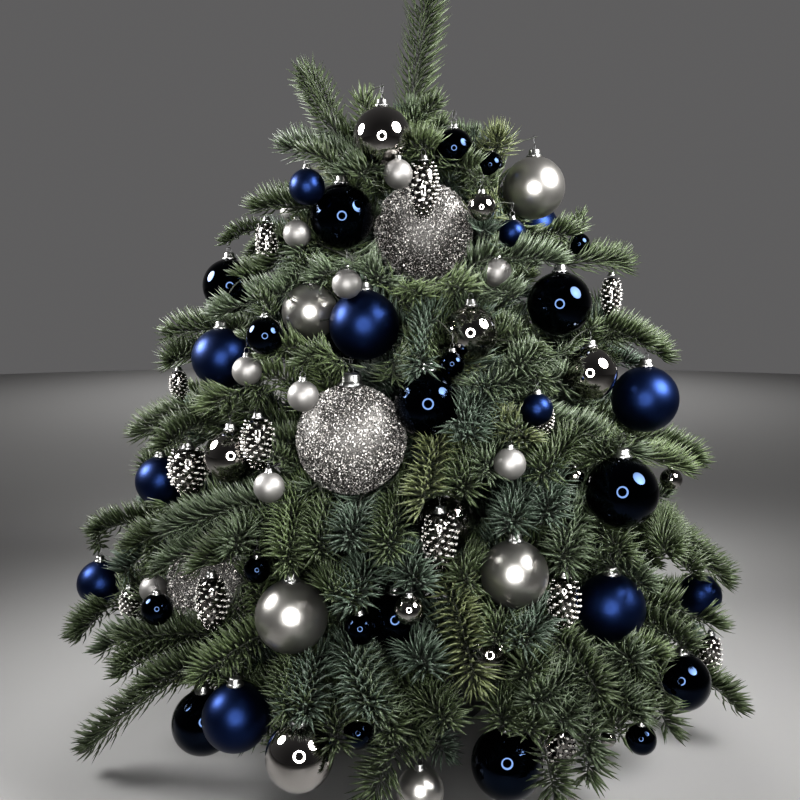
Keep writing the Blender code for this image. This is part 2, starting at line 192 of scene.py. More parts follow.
# On a level shoot the needles keep to this share of the round, about its upper side
SWEPT_SHARE = 0.72
# How far the upper side leans out from straight up
SKYWARD_LEAN = 0.55
TOP_NEEDLE_FORWARD = 0.18
HANGING_FORWARD = 0.22
# A shoot's tip zone, in needle lengths, and how far the needles lean at the very tip
TIP_ZONE = 0.6
TIP_LEAN = (0.05, 0.75)
TIP_LEAN_POWER = 0.6
# How far needles turn up: always, more on hanging shoots, and less at the tip
NEEDLE_PULL = 0.1925
HANGING_PULL = 0.1375
PULL_AT_TIP = 0.25
# How far needles are bent, and their bend's share forward at the shoot's tip and away from it
NEEDLE_BEND = 0.30
BEND_FORWARD = (0.9, 0.4)
RISE_UPRIGHT = 0.35
RISE_AT_TIP = 0.4
LENGTH_AT_FOOT = 0.72
LENGTH_AT_TIP = 0.74
PLACE_JITTER = 0.6
TURN_JITTER = 0.06
LEAN_JITTER = 0.04
LENGTH_JITTER = (0.90, 1.08)
WIDTH_JITTER = (0.88, 1.1)
# How far round a node's needles decorations are looked for
NEAR_MARGIN = 0.12

# Bark's relief: ridges along the limb and finer lumps, as turns per metre and shares of the depth
RIDGES_ACROSS = 230
RIDGES_ALONG = 45
LUMPS = 420
RIDGE_SHARE = 0.8
LUMP_SHARE = 0.5
BOUGH_RELIEF_SHARE = 0.6
TRUNK_RINGS, TRUNK_SIDES = 150, 40
BOUGH_RINGS, BOUGH_SIDES = 26, 14

# The photo's camera: 800 pixels wide, with its focal length in pixels
PHOTO_SIZE = 800
PHOTO_FOCAL = 851.0
CAMERA_PLACE = Vector((-0.012, -1.05, 0.50))
CAMERA_PITCH = math.radians(6.3)
SENSOR_WIDTH = 36.0
FORWARD = Vector((0, math.cos(CAMERA_PITCH), -math.sin(CAMERA_PITCH)))
RIGHT = Vector((1, 0, 0))
ABOVE = RIGHT.cross(FORWARD)

# Shoots that stand out at the front: photo x, y of the root and of the tip, and a tint
FRONT_SHOOTS = (
    (338, 142, 303, 68, "mid"),
    (374, 135, 362, 96, "fresh"),
    (350, 162, 282, 146, "grey"),
    (395, 165, 340, 176, "grey"),
    (398, 150, 440, 148, "fresh"),
    (430, 155, 500, 182, "fresh"),
    (448, 160, 500, 196, "mid"),
    (392, 152, 352, 184, "mid"),
    (500, 165, 496, 130, "yellow"),
    (500, 168, 558, 158, "grey"),
    (320, 210, 254, 208, "mid"),
    (275, 243, 234, 250, "mid"),
    (265, 276, 206, 290, "mid"),
    (297, 292, 216, 316, "grey"),
    (335, 232, 295, 262, "fresh"),
    (380, 262, 312, 280, "grey"),
    (365, 265, 386, 288, "grey"),
    (235, 330, 167, 335, "mid"),
    (210, 355, 167, 362, "mid"),
    (322, 328, 282, 344, "fresh"),
    (320, 348, 250, 355, "fresh"),
    (305, 345, 352, 366, "fresh"),
    (285, 374, 205, 408, "fresh"),
    (230, 402, 136, 436, "mid"),
    (388, 345, 378, 378, "mid"),
    (478, 216, 512, 205, "yellow"),
    (480, 240, 488, 224, "blue"),
    (520, 235, 576, 236, "mid"),
    (468, 262, 560, 262, "grey"),
    (560, 266, 630, 265, "mid"),
    (385, 285, 426, 296, "fresh"),
    (425, 284, 470, 290, "fresh"),
    (482, 288, 520, 300, "grey"),
    (430, 310, 418, 378, "blue"),
    (590, 325, 650, 346, "mid"),
    (620, 335, 668, 360, "mid"),
    (580, 358, 505, 366, "grey"),
    (578, 386, 468, 386, "grey"),
    (500, 385, 450, 430, "blue"),
    (490, 425, 532, 440, "yellow"),
    (482, 415, 462, 442, "blue"),
    (545, 425, 640, 455, "grey"),
    (560, 450, 690, 470, "fresh"),
    (650, 440, 702, 463, "mid"),
    (300, 500, 165, 530, "grey"),
    (150, 520, 92, 533, "mid"),
    (178, 528, 108, 590, "blue"),
    (130, 588, 78, 638, "mid"),
    (285, 517, 196, 570, "mid"),
    (292, 500, 288, 572, "fresh"),
    (185, 635, 118, 665, "mid"),
    (195, 668, 86, 750, "mid"),
    (275, 628, 196, 680, "fresh"),
    (315, 652, 304, 722, "blue"),
    (318, 715, 268, 762, "mid"),
    (440, 432, 420, 518, "yellow"),
    (372, 555, 348, 612, "blue"),
    (392, 552, 424, 590, "blue"),
    (525, 485, 508, 533, "blue"),
    (580, 430, 536, 482, "mid"),
    (578, 495, 562, 572, "grey"),
    (590, 520, 628, 560, "mid"),
    (640, 518, 728, 584, "mid"),
    (590, 655, 664, 656, "fresh"),
    (642, 602, 720, 627, "mid"),
    (640, 620, 696, 655, "mid"),
    (622, 655, 672, 733, "mid"),
    (602, 662, 526, 706, "grey"),
    (600, 690, 586, 782, "mid"),
    (535, 715, 556, 800, "mid"),
    (706, 682, 740, 710, "mid"),
    (350, 640, 368, 718, "blue"),
    (448, 582, 478, 690, "yellow"),
    (442, 680, 368, 800, "mid"),
    (408, 640, 432, 674, "blue"),
    (545, 610, 516, 650, "blue"),
    (215, 636, 120, 640, "mid"),
    (258, 540, 200, 582, "mid"),
    (305, 690, 278, 742, "blue"),
    (296, 655, 286, 720, "mid"),
    (356, 655, 382, 722, "grey"),
    (128, 596, 74, 634, "mid"),
    (160, 590, 84, 596, "mid"),
    (190, 640, 118, 676, "mid"),
    (170, 620, 100, 652, "grey"),
    (240, 690, 190, 712, "mid"),
    (575, 690, 590, 760, "grey"),
    (530, 700, 528, 738, "mid"),
    (640, 640, 668, 700, "mid"),
    (600, 640, 640, 668, "grey"),
    (580, 660, 640, 720, "grey"),
    (225, 655, 142, 690, "mid"),
    (190, 598, 96, 616, "mid"),
    (205, 520, 128, 548, "mid"),
    (250, 535, 162, 566, "grey"),
    (235, 500, 160, 508, "mid"),
    (330, 690, 338, 752, "mid"),
    (560, 640, 604, 700, "mid"),
    (640, 680, 636, 722, "mid"),
    (570, 680, 560, 730, "grey"),
    (540, 660, 522, 680, "mid"),
    (610, 700, 622, 742, "mid"),
    (660, 540, 716, 610, "mid"),
    (600, 560, 650, 590, "grey"),
    (380, 690, 392, 740, "mid"),
    (470, 448, 460, 500, "mid"),
    (505, 436, 482, 480, "grey"),
    (402, 496, 384, 560, "mid"),
    (362, 500, 346, 548, "blue"),
    (326, 505, 318, 560, "mid"),
    (552, 470, 546, 524, "blue"),
    (610, 440, 596, 480, "mid"),
    (462, 552, 470, 592, "mid"),
    (500, 610, 498, 650, "mid"),
    (420, 690, 452, 728, "mid"),
    (500, 690, 506, 732, "mid"),
    (392, 380, 398, 350, "mid"),
    (500, 340, 540, 352, "mid"),
    (250, 520, 232, 552, "grey"),
    (330, 580, 338, 600, "mid"),
    (660, 520, 668, 560, "mid"),
    (150, 470, 176, 500, "mid"),
    (215, 420, 160, 448, "mid"),
)
# Where lines of sight are followed from, and how far
SIGHT_START = 0.55
SIGHT_STEP = 0.002
SIGHT_STEPS = 400
ROOT_DEPTH_SHARE = 0.80
TIP_DEPTH_SHARE = 0.98
FRONT_ARCH = 0.06
FRONT_SIZE = 1.12
# Front shoots may grow from these of the steps along a stem, and pass a point on the way to their root
HOLD_STEPS = 20
FIRST_HOLD, LAST_HOLD = 2, 18
HOLD_TO_ROOT_SHARE = 0.6
# How far the needles stand past a front shoot's tip, in the photo's pixels
NEEDLES_PAST_TIP = 6.0
MINGLE_DISTANCE = 0.019
HOLD_BEHIND = 0.03
HOLD_COST = 1.5
TWIG_CLEARANCE = 0.003
# How far round the back of a decoration a shoot is moved, as a share of its radius
PUSH_INWARD = 0.7
SHORTEST_SHARE = 0.35
CORNER_ROUNDS = 2
# Shoots count as at the front when they stand forward by this share of their reach
FRONT_SIDE_SHARE = 0.15
# How far out other shoots reach at the front, as a share of the crown's radius
FRONT_FILL_SHARE = 0.83
# How far aside other shoots are seen from the front: photo y, and x at the left and at the right
CROWN_EDGE = (
    (96, 418, 438),
    (128, 365, 444),
    (142, 330, 512),
    (150, 312, 540),
    (215, 276, 542),
    (268, 232, 598),
    (335, 200, 622),
    (385, 186, 640),
    (440, 170, 660),
    (500, 140, 682),
    (580, 116, 692),
    (640, 112, 696),
    (700, 128, 692),
    (760, 250, 622),
)
# The crown's lower edge at the front: photo x and y
LOWER_EDGE = (
    (0, 640),
    (75, 655),
    (120, 690),
    (190, 715),
    (265, 765),
    (330, 765),
    (362, 800),
    (440, 800),
    (475, 760),
    (530, 800),
    (600, 790),
    (640, 745),
    (680, 735),
    (745, 715),
    (800, 700),
)

# Decorations at the front: kind, photo x, y and radius in pixels, share of the radius kept clear
BALLS = (
    ("glitter", 423.5, 232, 48.5, 0.9),
    ("glitter", 351.5, 439, 54, 1.05),
    ("glitter", 217, 583, 48, 0.4),
    ("navy", 342, 216, 32, 1.25),
    ("navy", 230, 286, 27, 0.4),
    ("navy", 559.5, 304, 32, 1.15),
    ("navy", 428, 404, 34, 0.7),
    ("navy", 622, 492, 36, 0.95),
    ("navy", 395, 620, 28, 0.6),
    ("navy", 204, 722, 32, 0.8),
    ("navy", 507, 763, 36, 0.6),
    ("navy", 681, 681, 29, 0.6),
    ("navy", 454, 148, 19, 0.7),
    ("small_navy", 490, 164.5, 13, 0.8),
    ("small_navy", 579, 244, 11, 0.8),
    ("small_navy", 265, 336, 19, 0.6),
    ("small_navy", 452, 364, 13, 0.6),
    ("small_navy", 257, 570, 13.5, 0.9),
    ("small_navy", 157, 609, 16, 0.7),
    ("small_navy", 360, 629, 16, 0.8),
    ("small_navy", 358, 733, 15.6, 0.6),
    ("small_navy", 641, 739, 15.4, 0.9),
    ("blue", 364, 325, 35, 1.1),
    ("blue", 222, 358, 30, 0.8),
    ("blue", 645, 399, 33, 1.1),
    ("blue", 161, 481, 25, 0.8),
    ("blue", 101, 583, 23, 0.6),
    ("blue", 611, 607, 34, 0.9),
    ("blue", 236, 717, 34, 0.9),
    ("blue", 700, 595, 21, 0.7),
    ("small_blue", 307, 187, 18, 0.4),
    ("small_blue", 512, 233, 13.8, 0.9),
    ("small_blue", 537, 409, 16, 0.9),
    ("silver", 534, 188, 30.7, 1.15),
    ("silver", 310, 312, 28, 0.7),
    ("silver", 291.5, 616, 36.5, 0.9),
    ("silver", 514.5, 574, 34, 0.9),
    ("silver", 420, 791, 24, 0.7),
    ("pearl", 398, 174, 14.7, 0.7),
    ("pearl", 297, 234, 14, 0.5),
    ("pearl", 346.7, 284, 15, 0.9),
    ("pearl", 497.6, 273, 14.4, 0.9),
    ("pearl", 247, 371, 15, 0.5),
    ("pearl", 303, 396, 15.8, 0.9),
    ("pearl", 509.7, 464, 16.4, 0.9),
    ("pearl", 269, 487, 15.6, 0.9),
    ("pearl", 153.5, 589, 14, 0.8),
    ("mirror", 382, 136, 29, 0.8),
    ("mirror", 470.5, 333, 27.5, 1.3),
    ("mirror", 590, 373, 27, 0.8),
    ("mirror", 231, 456, 27, 0.9),
    ("mirror", 446, 523, 29, 0.95),
    ("mirror", 490, 655, 25, 0.4),
    ("mirror", 299.5, 756, 34.5, 0.35),
    ("small_mirror", 481.6, 207, 14.0, 1.3),
    ("small_mirror", 671, 479, 11, 0.8),
    ("small_mirror", 575, 476, 10, 0.8),
    ("small_mirror", 409, 610, 15, 1.2),
    ("small_mirror", 608, 739, 8, 0.8),
)
# Glass cones at the front: photo x, y, width and height in pixels
CONES = (
    (423.5, 189, 30, 58),
    (267, 244, 22, 46),
    (611, 298, 20, 45),
    (179, 386, 18, 32),
    (188, 471, 38, 52),
    (258, 443, 33, 54),
    (439.5, 541, 34, 62),
    (212, 603, 32, 58),
    (130, 605, 20, 35),
    (564, 603, 32, 57),
    (561, 747, 30, 58),
    (710, 657, 22, 48),
    (545, 420, 18, 34),
)
# The sizes that each kind is sold in
TRADE_DIAMETER = {
    "glitter": 0.100, "navy": 0.067, "blue": 0.067, "silver": 0.067, "mirror": 0.055,
    "small_navy": 0.030, "small_blue": 0.030, "pearl": 0.029, "small_mirror": 0.026, "cone": 0.058,
}
CONE_CLEAR_SHARE = 0.9
CONE_RADIUS_SHARE = 0.27
BALL_DEPTH_SHARE = 0.90
DEPTH_PLAY = 0.025
# Decorations that overlap are moved apart, a share of the overlap in each round
SPREAD_ROUNDS = 12
SPREAD_GAP = 0.0015
SPREAD_SHARE = 0.6
THREAD_LENGTH = 0.012
THREAD_ASIDE = 0.006
THREAD_BELOW = 0.003
CARRIER_PAST = 0.003
CARRIER_ARCH = 0.006
CARRIER_BARE = 0.05
CARRIER_SIZE = 0.75
# Above this height, the twigs that decorations hang from are seen against the sky
BARE_CARRIERS_ABOVE = 0.66
BACK_COUNT = 46
BACK_SEED = 7
BACK_TRIES = 60
BACK_LOWEST = 0.07
BACK_HEIGHT = 0.56
BACK_HEIGHT_POWER = 1.15
BACK_AZIMUTHS = (95, 265)
BACK_REACH_SHARE = 0.93
BACK_SINK_SHARE = 0.5
BACK_EDGE_SHARE = 0.84
BACK_KINDS = (
    "navy", "blue", "silver", "cone", "mirror", "pearl", "small_navy", "navy", "cone", "blue",
    "glitter", "pearl", "mirror", "small_blue", "silver", "cone",
)
BACK_SPACING = 0.030


# Turned shapes for a ball of unit radius: corners as radius and height
SHOULDER_END = 76
NECK_PROFILE = ((0.205, 0.995), (0.165, 1.03), (0.150, 1.07), (0.0, 1.07))
CAP_TOP = 1.235
CAP_PROFILE = (
    (0.0, CAP_TOP), (0.120, CAP_TOP), (0.165, 1.215), (0.180, 1.19), (0.184, 1.09),
    (0.205, 1.055), (0.262, 0.985), (0.250, 0.978), (0.170, 1.05), (0.0, 1.05),
)
CAP_STEPS = 24
# The cap's skirt: its folds, and from which radius on they go in and out, and up and down
CAP_FOLDS = 12
FOLDED_FROM, FOLD_DEPTH = 0.18, 0.035
SCALLOPED_FROM, SCALLOP_DEPTH = 0.24, 0.022
LARGE_BALL = (48, 26)
SMALL_BALL = (32, 18)

# The glass cone, for unit height
CONE_FOOT = -0.50
CONE_BODY_HEIGHT = 0.94
CONE_NECK_PROFILE = ((0.085, 0.44), (0.0, 0.46))
CONE_GIRTH = 0.215
# Half the width of a unit cone with its scales on
CONE_WIDEST = 0.24
CONE_STEPS = 28
CONE_RINGS = 10
SCALE_COUNT = 96
SCALE_SIZE = 0.048
SCALE_TILT = math.radians(30)
SCALE_SHAPE = (0.62, 1.2, 0.9)
# The scales' white tips, partly frost and partly painted highlights of the lamps: their shape and size
FROST_AND_HIGHLIGHT_SHAPE = (0.8, 1.0, 1.0)
FROST_AND_HIGHLIGHT_SIZE = 0.56
# Scales above this share of the cone's height have white tips, partly frost and partly painted highlights
# of the lamps
FROST_AND_HIGHLIGHTS_FROM = 0.24

# Glitter
FLAKE_SEED = 11
FLAKES_PER_BALL = 12000
FLAKE_RADIUS = 0.00140
FLAKE_HEIGHT = 0.22
FLAKE_TILT = 0.85
FLAKE_SIZE_JITTER = (0.7, 1.25)
FLAKE_PLACE_JITTER = (-0.0008, 0.0012)
FLAKE_TURN_JITTER = (-0.02, 0.02)

# Caps, wire loops and threads
CONE_CAP_SIZE = 1.5
LEAST_CAP_SIZE = 0.018
CONE_CAP_RISE = 0.004
LOOP_RADIUS_MOST = 0.0034
LOOP_RADIUS_SHARE = 0.17
LOOP_WIDTH_SHARE = 0.8
LOOP_RISE_SHARE = 0.55
LOOP_TURNS = [math.radians(-60 + 30 * i) for i in range(11)]
# Loops are turned by their place across the tree, in radians per metre, so that they face all ways
LOOP_FACING = 60
THREAD_FROM_SHARE = 1.4
THREAD_WIDTH = 0.0022
THREAD_OVER = 0.0026
THREAD_NARROWING = 0.7
WIRE_RADIUS = 0.00028
THREAD_RADIUS = 0.00018
# The nearest twig counts sideways distance this many times, and must be this far above
HOLD_ASIDE_COST = 3.0
HOLD_ABOVE = 0.001
NO_HOLD_COST = 9.0

# The stand's foot
FOOT_INSET = 0.013
FOOT_EDGE_RADIUS = 0.006
TOP_EDGE_RADIUS = 0.003
FOOT_TOP_INNER_RADIUS = 0.036
FOOT_STEPS = 96

# Floor and lights
FLOOR_RADIUS = 6.0
FLOOR_DROP = 0.0005
CROWN_MIDDLE = Vector((0, 0, 0.42))
BOX_SPREAD = 80
# How many times brighter a soft box is in glossy things, and how far before it that image stands
GLARE = 2.1
GLARE_BEFORE = 0.01
FLOOR_LIGHT_PLACE = (0, 4.0, 2.4)
FLOOR_LIGHT_SIZE = 4.0
FLOOR_LIGHT_SPREAD = 100
RING_LIGHT_RADII = (0.205, 0.290)
RING_LIGHT_BEHIND = 0.02
RING_LIGHT_STEPS = 48
# Where along the depth the surroundings change: share, from the front to the back
SURROUNDINGS_FROM, SURROUNDINGS_TO = 0.1, 0.9

# Tints of shoots, and the share of each. Dark shoots are only laid inside the crown, where their darker
# green is painted shade.
TINTS = ("blue", "grey", "mid", "fresh", "yellow", "dark")
TINT_SHARES = (0.22, 0.28, 0.34, 0.13, 0.03, 0.0)
CAP_COLOUR = (0.27, 0.27, 0.262)
WIRE_COLOUR = (0.10, 0.10, 0.10)
PAINT_COLOUR = (0.016, 0.016, 0.018)
ZINC_COLOUR = (0.55, 0.55, 0.56)
# Where pieces are shaded with a sharp edge
SHARP_ANGLE = math.radians(40)


# Settings
def colour_setting(name, description, default):
    """A colour in the panel's settings."""
    return bpy.props.FloatVectorProperty(
        name=name, description=description, subtype="COLOR", size=3, min=0.0, max=1.0, default=default
    )


def size_setting(name, description, default):
    """A size in metres in the panel's settings."""
    return bpy.props.FloatProperty(
        name=name, description=description, unit="LENGTH", precision=4, min=0.0, default=default
    )


class FoliageSettings(bpy.types.PropertyGroup):
    """Needles and twigs."""

    needle_length: size_setting("Needle length", "Length of a needle in the middle of a shoot", 0.0255)
    needle_width: size_setting("Needle width", "Width of a needle", 0.0034)
    needle_lean: bpy.props.FloatProperty(
        name="Needle lean", description="Angle between a needle and its shoot", unit="ROTATION",
        default=math.radians(74),
    )
    needles_per_metre: bpy.props.IntProperty(
        name="Needles per metre", description="Needles along a metre of shoot", default=1600
    )
    inner_per_metre: bpy.props.IntProperty(
        name="Inner needles per metre", description="Needles along a metre of inner shoot", default=1000
    )
    blue: colour_setting("Blue green", "Waxy blue-green shoots", (0.058, 0.083, 0.058))
    grey: colour_setting("Grey green", "Shoots in full light", (0.066, 0.089, 0.049))
    mid: colour_setting("Mid green", "Plain green shoots", (0.049, 0.068, 0.028))
    fresh: colour_setting("Fresh green", "Light new shoots", (0.080, 0.108, 0.045))
    yellow: colour_setting("Yellow green", "Ageing shoots", (0.112, 0.132, 0.057))
    # Painted shade: the inner shoots' green is darker for the shade inside the crown
    dark: colour_setting("Dark green", "Inner shoots", (0.022, 0.034, 0.022))
    twig: colour_setting("Twig", "Bark of the young twigs", (0.020, 0.025, 0.012))


class BarkSettings(bpy.types.PropertyGroup):
    """Trunk and boughs."""

    relief: size_setting("Relief", "Depth of the bark's cracks", 0.0009)
    # Partly painted shade: the bark's own brown, darkened for the shade it lies in inside the crown
    colour: colour_setting("Bark", "Colour of the bark", (0.030, 0.025, 0.020))


class DecorationSettings(bpy.types.PropertyGroup):
    """Balls and cones."""

    navy: colour_setting("Navy", "Glossy dark balls", (0.0065, 0.0105, 0.020))
    blue: colour_setting("Blue", "Satin blue balls", (0.0056, 0.0128, 0.045))
    silver: colour_setting("Silver", "Satin silver balls", (0.350, 0.338, 0.318))
    pearl: colour_setting("Pearl", "Small pearly balls", (0.198, 0.191, 0.183))
    mirror: colour_setting("Mirror", "Smoky mirror balls", (0.400, 0.382, 0.364))
    glitter: colour_setting("Glitter", "Glitter flakes", (0.700, 0.672, 0.640))


class StageSettings(bpy.types.PropertyGroup):
    """Floor and lights."""

    floor: colour_setting("Floor", "Pale floor", (0.38, 0.375, 0.37))
    world: colour_setting("Surroundings", "Plain soft surroundings", (0.034, 0.033, 0.034))
    backdrop: colour_setting("Backdrop", "Surroundings behind the tree", (0.120, 0.118, 0.119))
    left_power: bpy.props.FloatProperty(name="Left light", description="Power in watts", default=6.6)
    right_power: bpy.props.FloatProperty(name="Right light", description="Power in watts", default=8.8)
    back_power: bpy.props.FloatProperty(name="Back light", description="Power in watts", default=5.0)
    front_power: bpy.props.FloatProperty(name="Front light", description="Power in watts", default=1.9)
    floor_power: bpy.props.FloatProperty(name="Floor light", description="Power in watts", default=34.0)
    ring_strength: bpy.props.FloatProperty(name="Ring light", description="Strength", default=40.0)


class FirSettings(bpy.types.PropertyGroup):
    """All settings of the tree."""

    foliage: bpy.props.PointerProperty(type=FoliageSettings)
    bark: bpy.props.PointerProperty(type=BarkSettings)
    decorations: bpy.props.PointerProperty(type=DecorationSettings)
    stage: bpy.props.PointerProperty(type=StageSettings)


# Meshes from templates
def linked(name, data):
    """A new object in the scene."""
    made = bpy.data.objects.new(name, data)
    bpy.context.scene.collection.objects.link(made)
    return made


def template_of(bm):
    """The corners and triangles of a bmesh, as arrays, to be copied many times."""
    bmesh.ops.recalc_face_normals(bm, faces=bm.faces)
    bmesh.ops.triangulate(bm, faces=bm.faces)
    bm.verts.index_update()
    corners = np.array([vert.co for vert in bm.verts])
    faces = np.array([[vert.index for vert in face.verts] for face in bm.faces])
    bm.free()
    return corners, faces


def mesh_object(name, corners, faces, finishes, finish_of_face=None, smooth=True):
    """An object from arrays of corners and triangles."""
    mesh = bpy.data.meshes.new(name)
    mesh.vertices.add(len(corners))
    mesh.loops.add(len(faces) * 3)
    mesh.polygons.add(len(faces))
    mesh.vertices.foreach_set("co", np.ascontiguousarray(corners, np.float32).ravel())
    mesh.loops.foreach_set("vertex_index", np.ascontiguousarray(faces, np.int32).ravel())
    mesh.polygons.foreach_set("loop_start", np.arange(0, len(faces) * 3, 3, dtype=np.int32))
    mesh.polygons.foreach_set("use_smooth", np.full(len(faces), smooth))
    for finish in finishes:
        mesh.materials.append(finish)
    if finish_of_face is not None:
        mesh.polygons.foreach_set("material_index", np.asarray(finish_of_face, np.int32))
    mesh.update(calc_edges=True)
    return linked(name, mesh)


def join_copies(name, template, places, finish, smooth=True):
    """One mesh of many copies of a template, each put in place by its own matrix."""
    corners, faces = template
    matrices = np.array([np.array(place) for place in places])
    moved = np.einsum("nij,vj->nvi", matrices[:, :3, :3], corners) + matrices[:, None, :3, 3]
    offsets = np.arange(len(places))[:, None, None] * len(corners)
    return mesh_object(
        name, moved.reshape(-1, 3), (faces[None] + offsets).reshape(-1, 3), [finish], smooth=smooth
    )


def bmesh_object(bm, name, finish):
    """An object from a bmesh, smooth but for its sharp edges."""
    bmesh.ops.recalc_face_normals(bm, faces=bm.faces)
    mesh = bpy.data.meshes.new(name)
    bm.to_mesh(mesh)
    bm.free()
    mesh.materials.append(finish)
    mesh.shade_smooth()
    mesh.set_sharp_from_angle(angle=SHARP_ANGLE)
    return linked(name, mesh)


def tubes_object(name, lines, radii, finish):
    """One mesh of many thin tubes, each along its own line of points."""
    curve = bpy.data.curves.new(name, "CURVE")
    curve.dimensions = "3D"
    curve.bevel_depth = 1.0
    curve.bevel_resolution = 1
    curve.use_fill_caps = True
    for line, radius in zip(lines, radii):
        spline = curve.splines.new("POLY")
        spline.points.add(len(line) - 1)
        points = np.ones((len(line), 4))
        points[:, :3] = line
        spline.points.foreach_set("co", points.ravel())
        spline.points.foreach_set("radius", np.asarray(radius, float))
    rough = linked(name + "_line", curve)
    graph = bpy.context.evaluated_depsgraph_get()
    mesh = bpy.data.meshes.new_from_object(rough.evaluated_get(graph))
    mesh.name = name
    bpy.data.objects.remove(rough, do_unlink=True)
    bpy.data.curves.remove(curve)
    mesh.materials.clear()
    mesh.materials.append(finish)
    mesh.shade_smooth()
    return linked(name, mesh)


def seat(piece, slot, *nodes):
    """Makes a piece move with the tree and stand for solids. The slot is not used."""
    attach(piece, "root")
    if nodes:
        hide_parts(*nodes)


# Finishes
def new_finish(name, colour, roughness, metallic=0.0):
    """A plain finish, with its node tree and its shader node."""
    made = bpy.data.materials.new(name)
    made.use_nodes = True
    shader = made.node_tree.nodes["Principled BSDF"]
    shader.inputs["Base Color"].default_value = (*colour, 1.0)
    shader.inputs["Roughness"].default_value = roughness
    shader.inputs["Metallic"].default_value = metallic
    return made, made.node_tree, shader


def add_noise(tree, scale, detail=4.0, roughness=0.55):
    """A noise texture on Object coordinates."""
    place = tree.nodes.new("ShaderNodeTexCoord")
    pattern = tree.nodes.new("ShaderNodeTexNoise")
    pattern.inputs["Scale"].default_value = scale
    pattern.inputs["Detail"].default_value = detail
    pattern.inputs["Roughness"].default_value = roughness
    tree.links.new(place.outputs["Object"], pattern.inputs["Vector"])
    return pattern


def add_ramp(tree, source, stops):
    """A ramp between two stops, each a place and a colour."""
    ramp = tree.nodes.new("ShaderNodeValToRGB")
    for element, (share, colour) in zip(ramp.color_ramp.elements, stops):
        element.position = share
        element.color = (*colour, 1.0)
    tree.links.new(source, ramp.inputs["Fac"])
    return ramp


def add_bump(tree, shader, pattern, strength, distance):
    """Lets a pattern stand out from the surface."""
    bump = tree.nodes.new("ShaderNodeBump")
    bump.inputs["Strength"].default_value = strength
    bump.inputs["Distance"].default_value = distance
    tree.links.new(pattern.outputs["Fac"], bump.inputs["Height"])
    tree.links.new(bump.outputs["Normal"], shader.inputs["Normal"])


def add_range(tree, source, low, high):
    """Spreads a source's values between two limits."""
    spread = tree.nodes.new("ShaderNodeMapRange")
    spread.inputs["To Min"].default_value = low
    spread.inputs["To Max"].default_value = high
    tree.links.new(source, spread.inputs["Value"])
    return spread


def shade(colour, factor):
    """A darker or lighter colour."""
    return tuple(min(1.0, part * factor) for part in colour)


def mottle(tree, shader, pattern, colour, dark, light):
    """Shades the colour along a pattern. Dark and light are each a place in it and a factor."""
    stops = [(place, shade(colour, factor)) for place, factor in (dark, light)]
    ramp = add_ramp(tree, pattern.outputs["Fac"], stops)
    tree.links.new(ramp.outputs["Color"], shader.inputs["Base Color"])


def vary_roughness(tree, shader, scale, detail, low, high):
    """Lets the roughness wander between two values."""
    pattern = add_noise(tree, scale, detail)
    spread = add_range(tree, pattern.outputs["Fac"], low, high)
    tree.links.new(spread.outputs["Result"], shader.inputs["Roughness"])


def needle_finish(name, colour):
    """Waxy needles: a soft sheen, and shade that varies from tuft to tuft."""
    made, tree, shader = new_finish("needles " + name, colour, roughness=0.48)
    pattern = add_noise(tree, scale=55.0, detail=3.0)
    mottle(tree, shader, pattern, colour, dark=(0.30, 0.72), light=(0.72, 1.30))
    shader.inputs["Specular IOR Level"].default_value = 0.22
    shader.inputs["Sheen Weight"].default_value = 0.03
    shader.inputs["Sheen Roughness"].default_value = 0.5
    return made


def bark_finish(name, colour, scale):
    """Bark with fine cracks along it."""
    made, tree, shader = new_finish(name, colour, roughness=0.85)
    pattern = add_noise(tree, scale, detail=7.0, roughness=0.65)
    mottle(tree, shader, pattern, colour, dark=(0.35, 0.45), light=(0.70, 1.5))
    add_bump(tree, shader, pattern, strength=0.7, distance=0.0012)
    return made


def lacquer_finish(name, colour):
    """Dark glass, silvered inside: it mirrors everything in its deep colour."""
    made, tree, shader = new_finish(name, colour, roughness=0.03, metallic=1.0)
    vary_roughness(tree, shader, scale=26.0, detail=2.0, low=0.01, high=0.05)
    return made


def satin_finish(name, colour, roughness, metallic=0.97):
    """Metallic lacquer with a frosted surface."""
    made, tree, shader = new_finish(name, colour, roughness, metallic)
    pattern = add_noise(tree, scale=900.0, detail=2.0)
    add_bump(tree, shader, pattern, strength=0.10, distance=0.0002)
    vary_roughness(tree, shader, scale=30.0, detail=2.0, low=roughness - 0.03, high=roughness + 0.04)
    return made


def mirror_finish(name, colour, roughness=0.02):
    """Silvered glass or plated metal."""
    made, tree, shader = new_finish(name, colour, roughness, metallic=1.0)
    vary_roughness(tree, shader, scale=18.0, detail=2.0, low=roughness, high=roughness + 0.05)
    return made


def flake_finish(name, colour):
    """Bright flakes whose shade changes from one to the next."""
    made, tree, shader = new_finish(name, colour, roughness=0.42, metallic=0.30)
    pattern = add_noise(tree, scale=640.0, detail=1.0)
    mottle(tree, shader, pattern, colour, dark=(0.44, 0.04), light=(0.58, 1.25))
    return made


def frost_and_highlight_finish(name, colour):
    """Coarse white glitter, rough and a little shiny; its white also paints the lamps' highlights on the
    cone's scales.
    """
    made, tree, shader = new_finish(name, colour, roughness=0.42, metallic=0.35)
    pattern = add_noise(tree, scale=1500.0, detail=2.0)
    add_bump(tree, shader, pattern, strength=0.5, distance=0.0003)
    mottle(tree, shader, pattern, colour, dark=(0.35, 0.75), light=(0.6, 1.1))
    return made


def paint_finish(name, colour, roughness):
    """Satin paint with a faint orange peel."""
    made, tree, shader = new_finish(name, colour, roughness)
    pattern = add_noise(tree, scale=260.0, detail=3.0)
    add_bump(tree, shader, pattern, strength=0.12, distance=0.0004)
    vary_roughness(tree, shader, scale=22.0, detail=5.0, low=roughness - 0.10, high=roughness + 0.12)
    return made


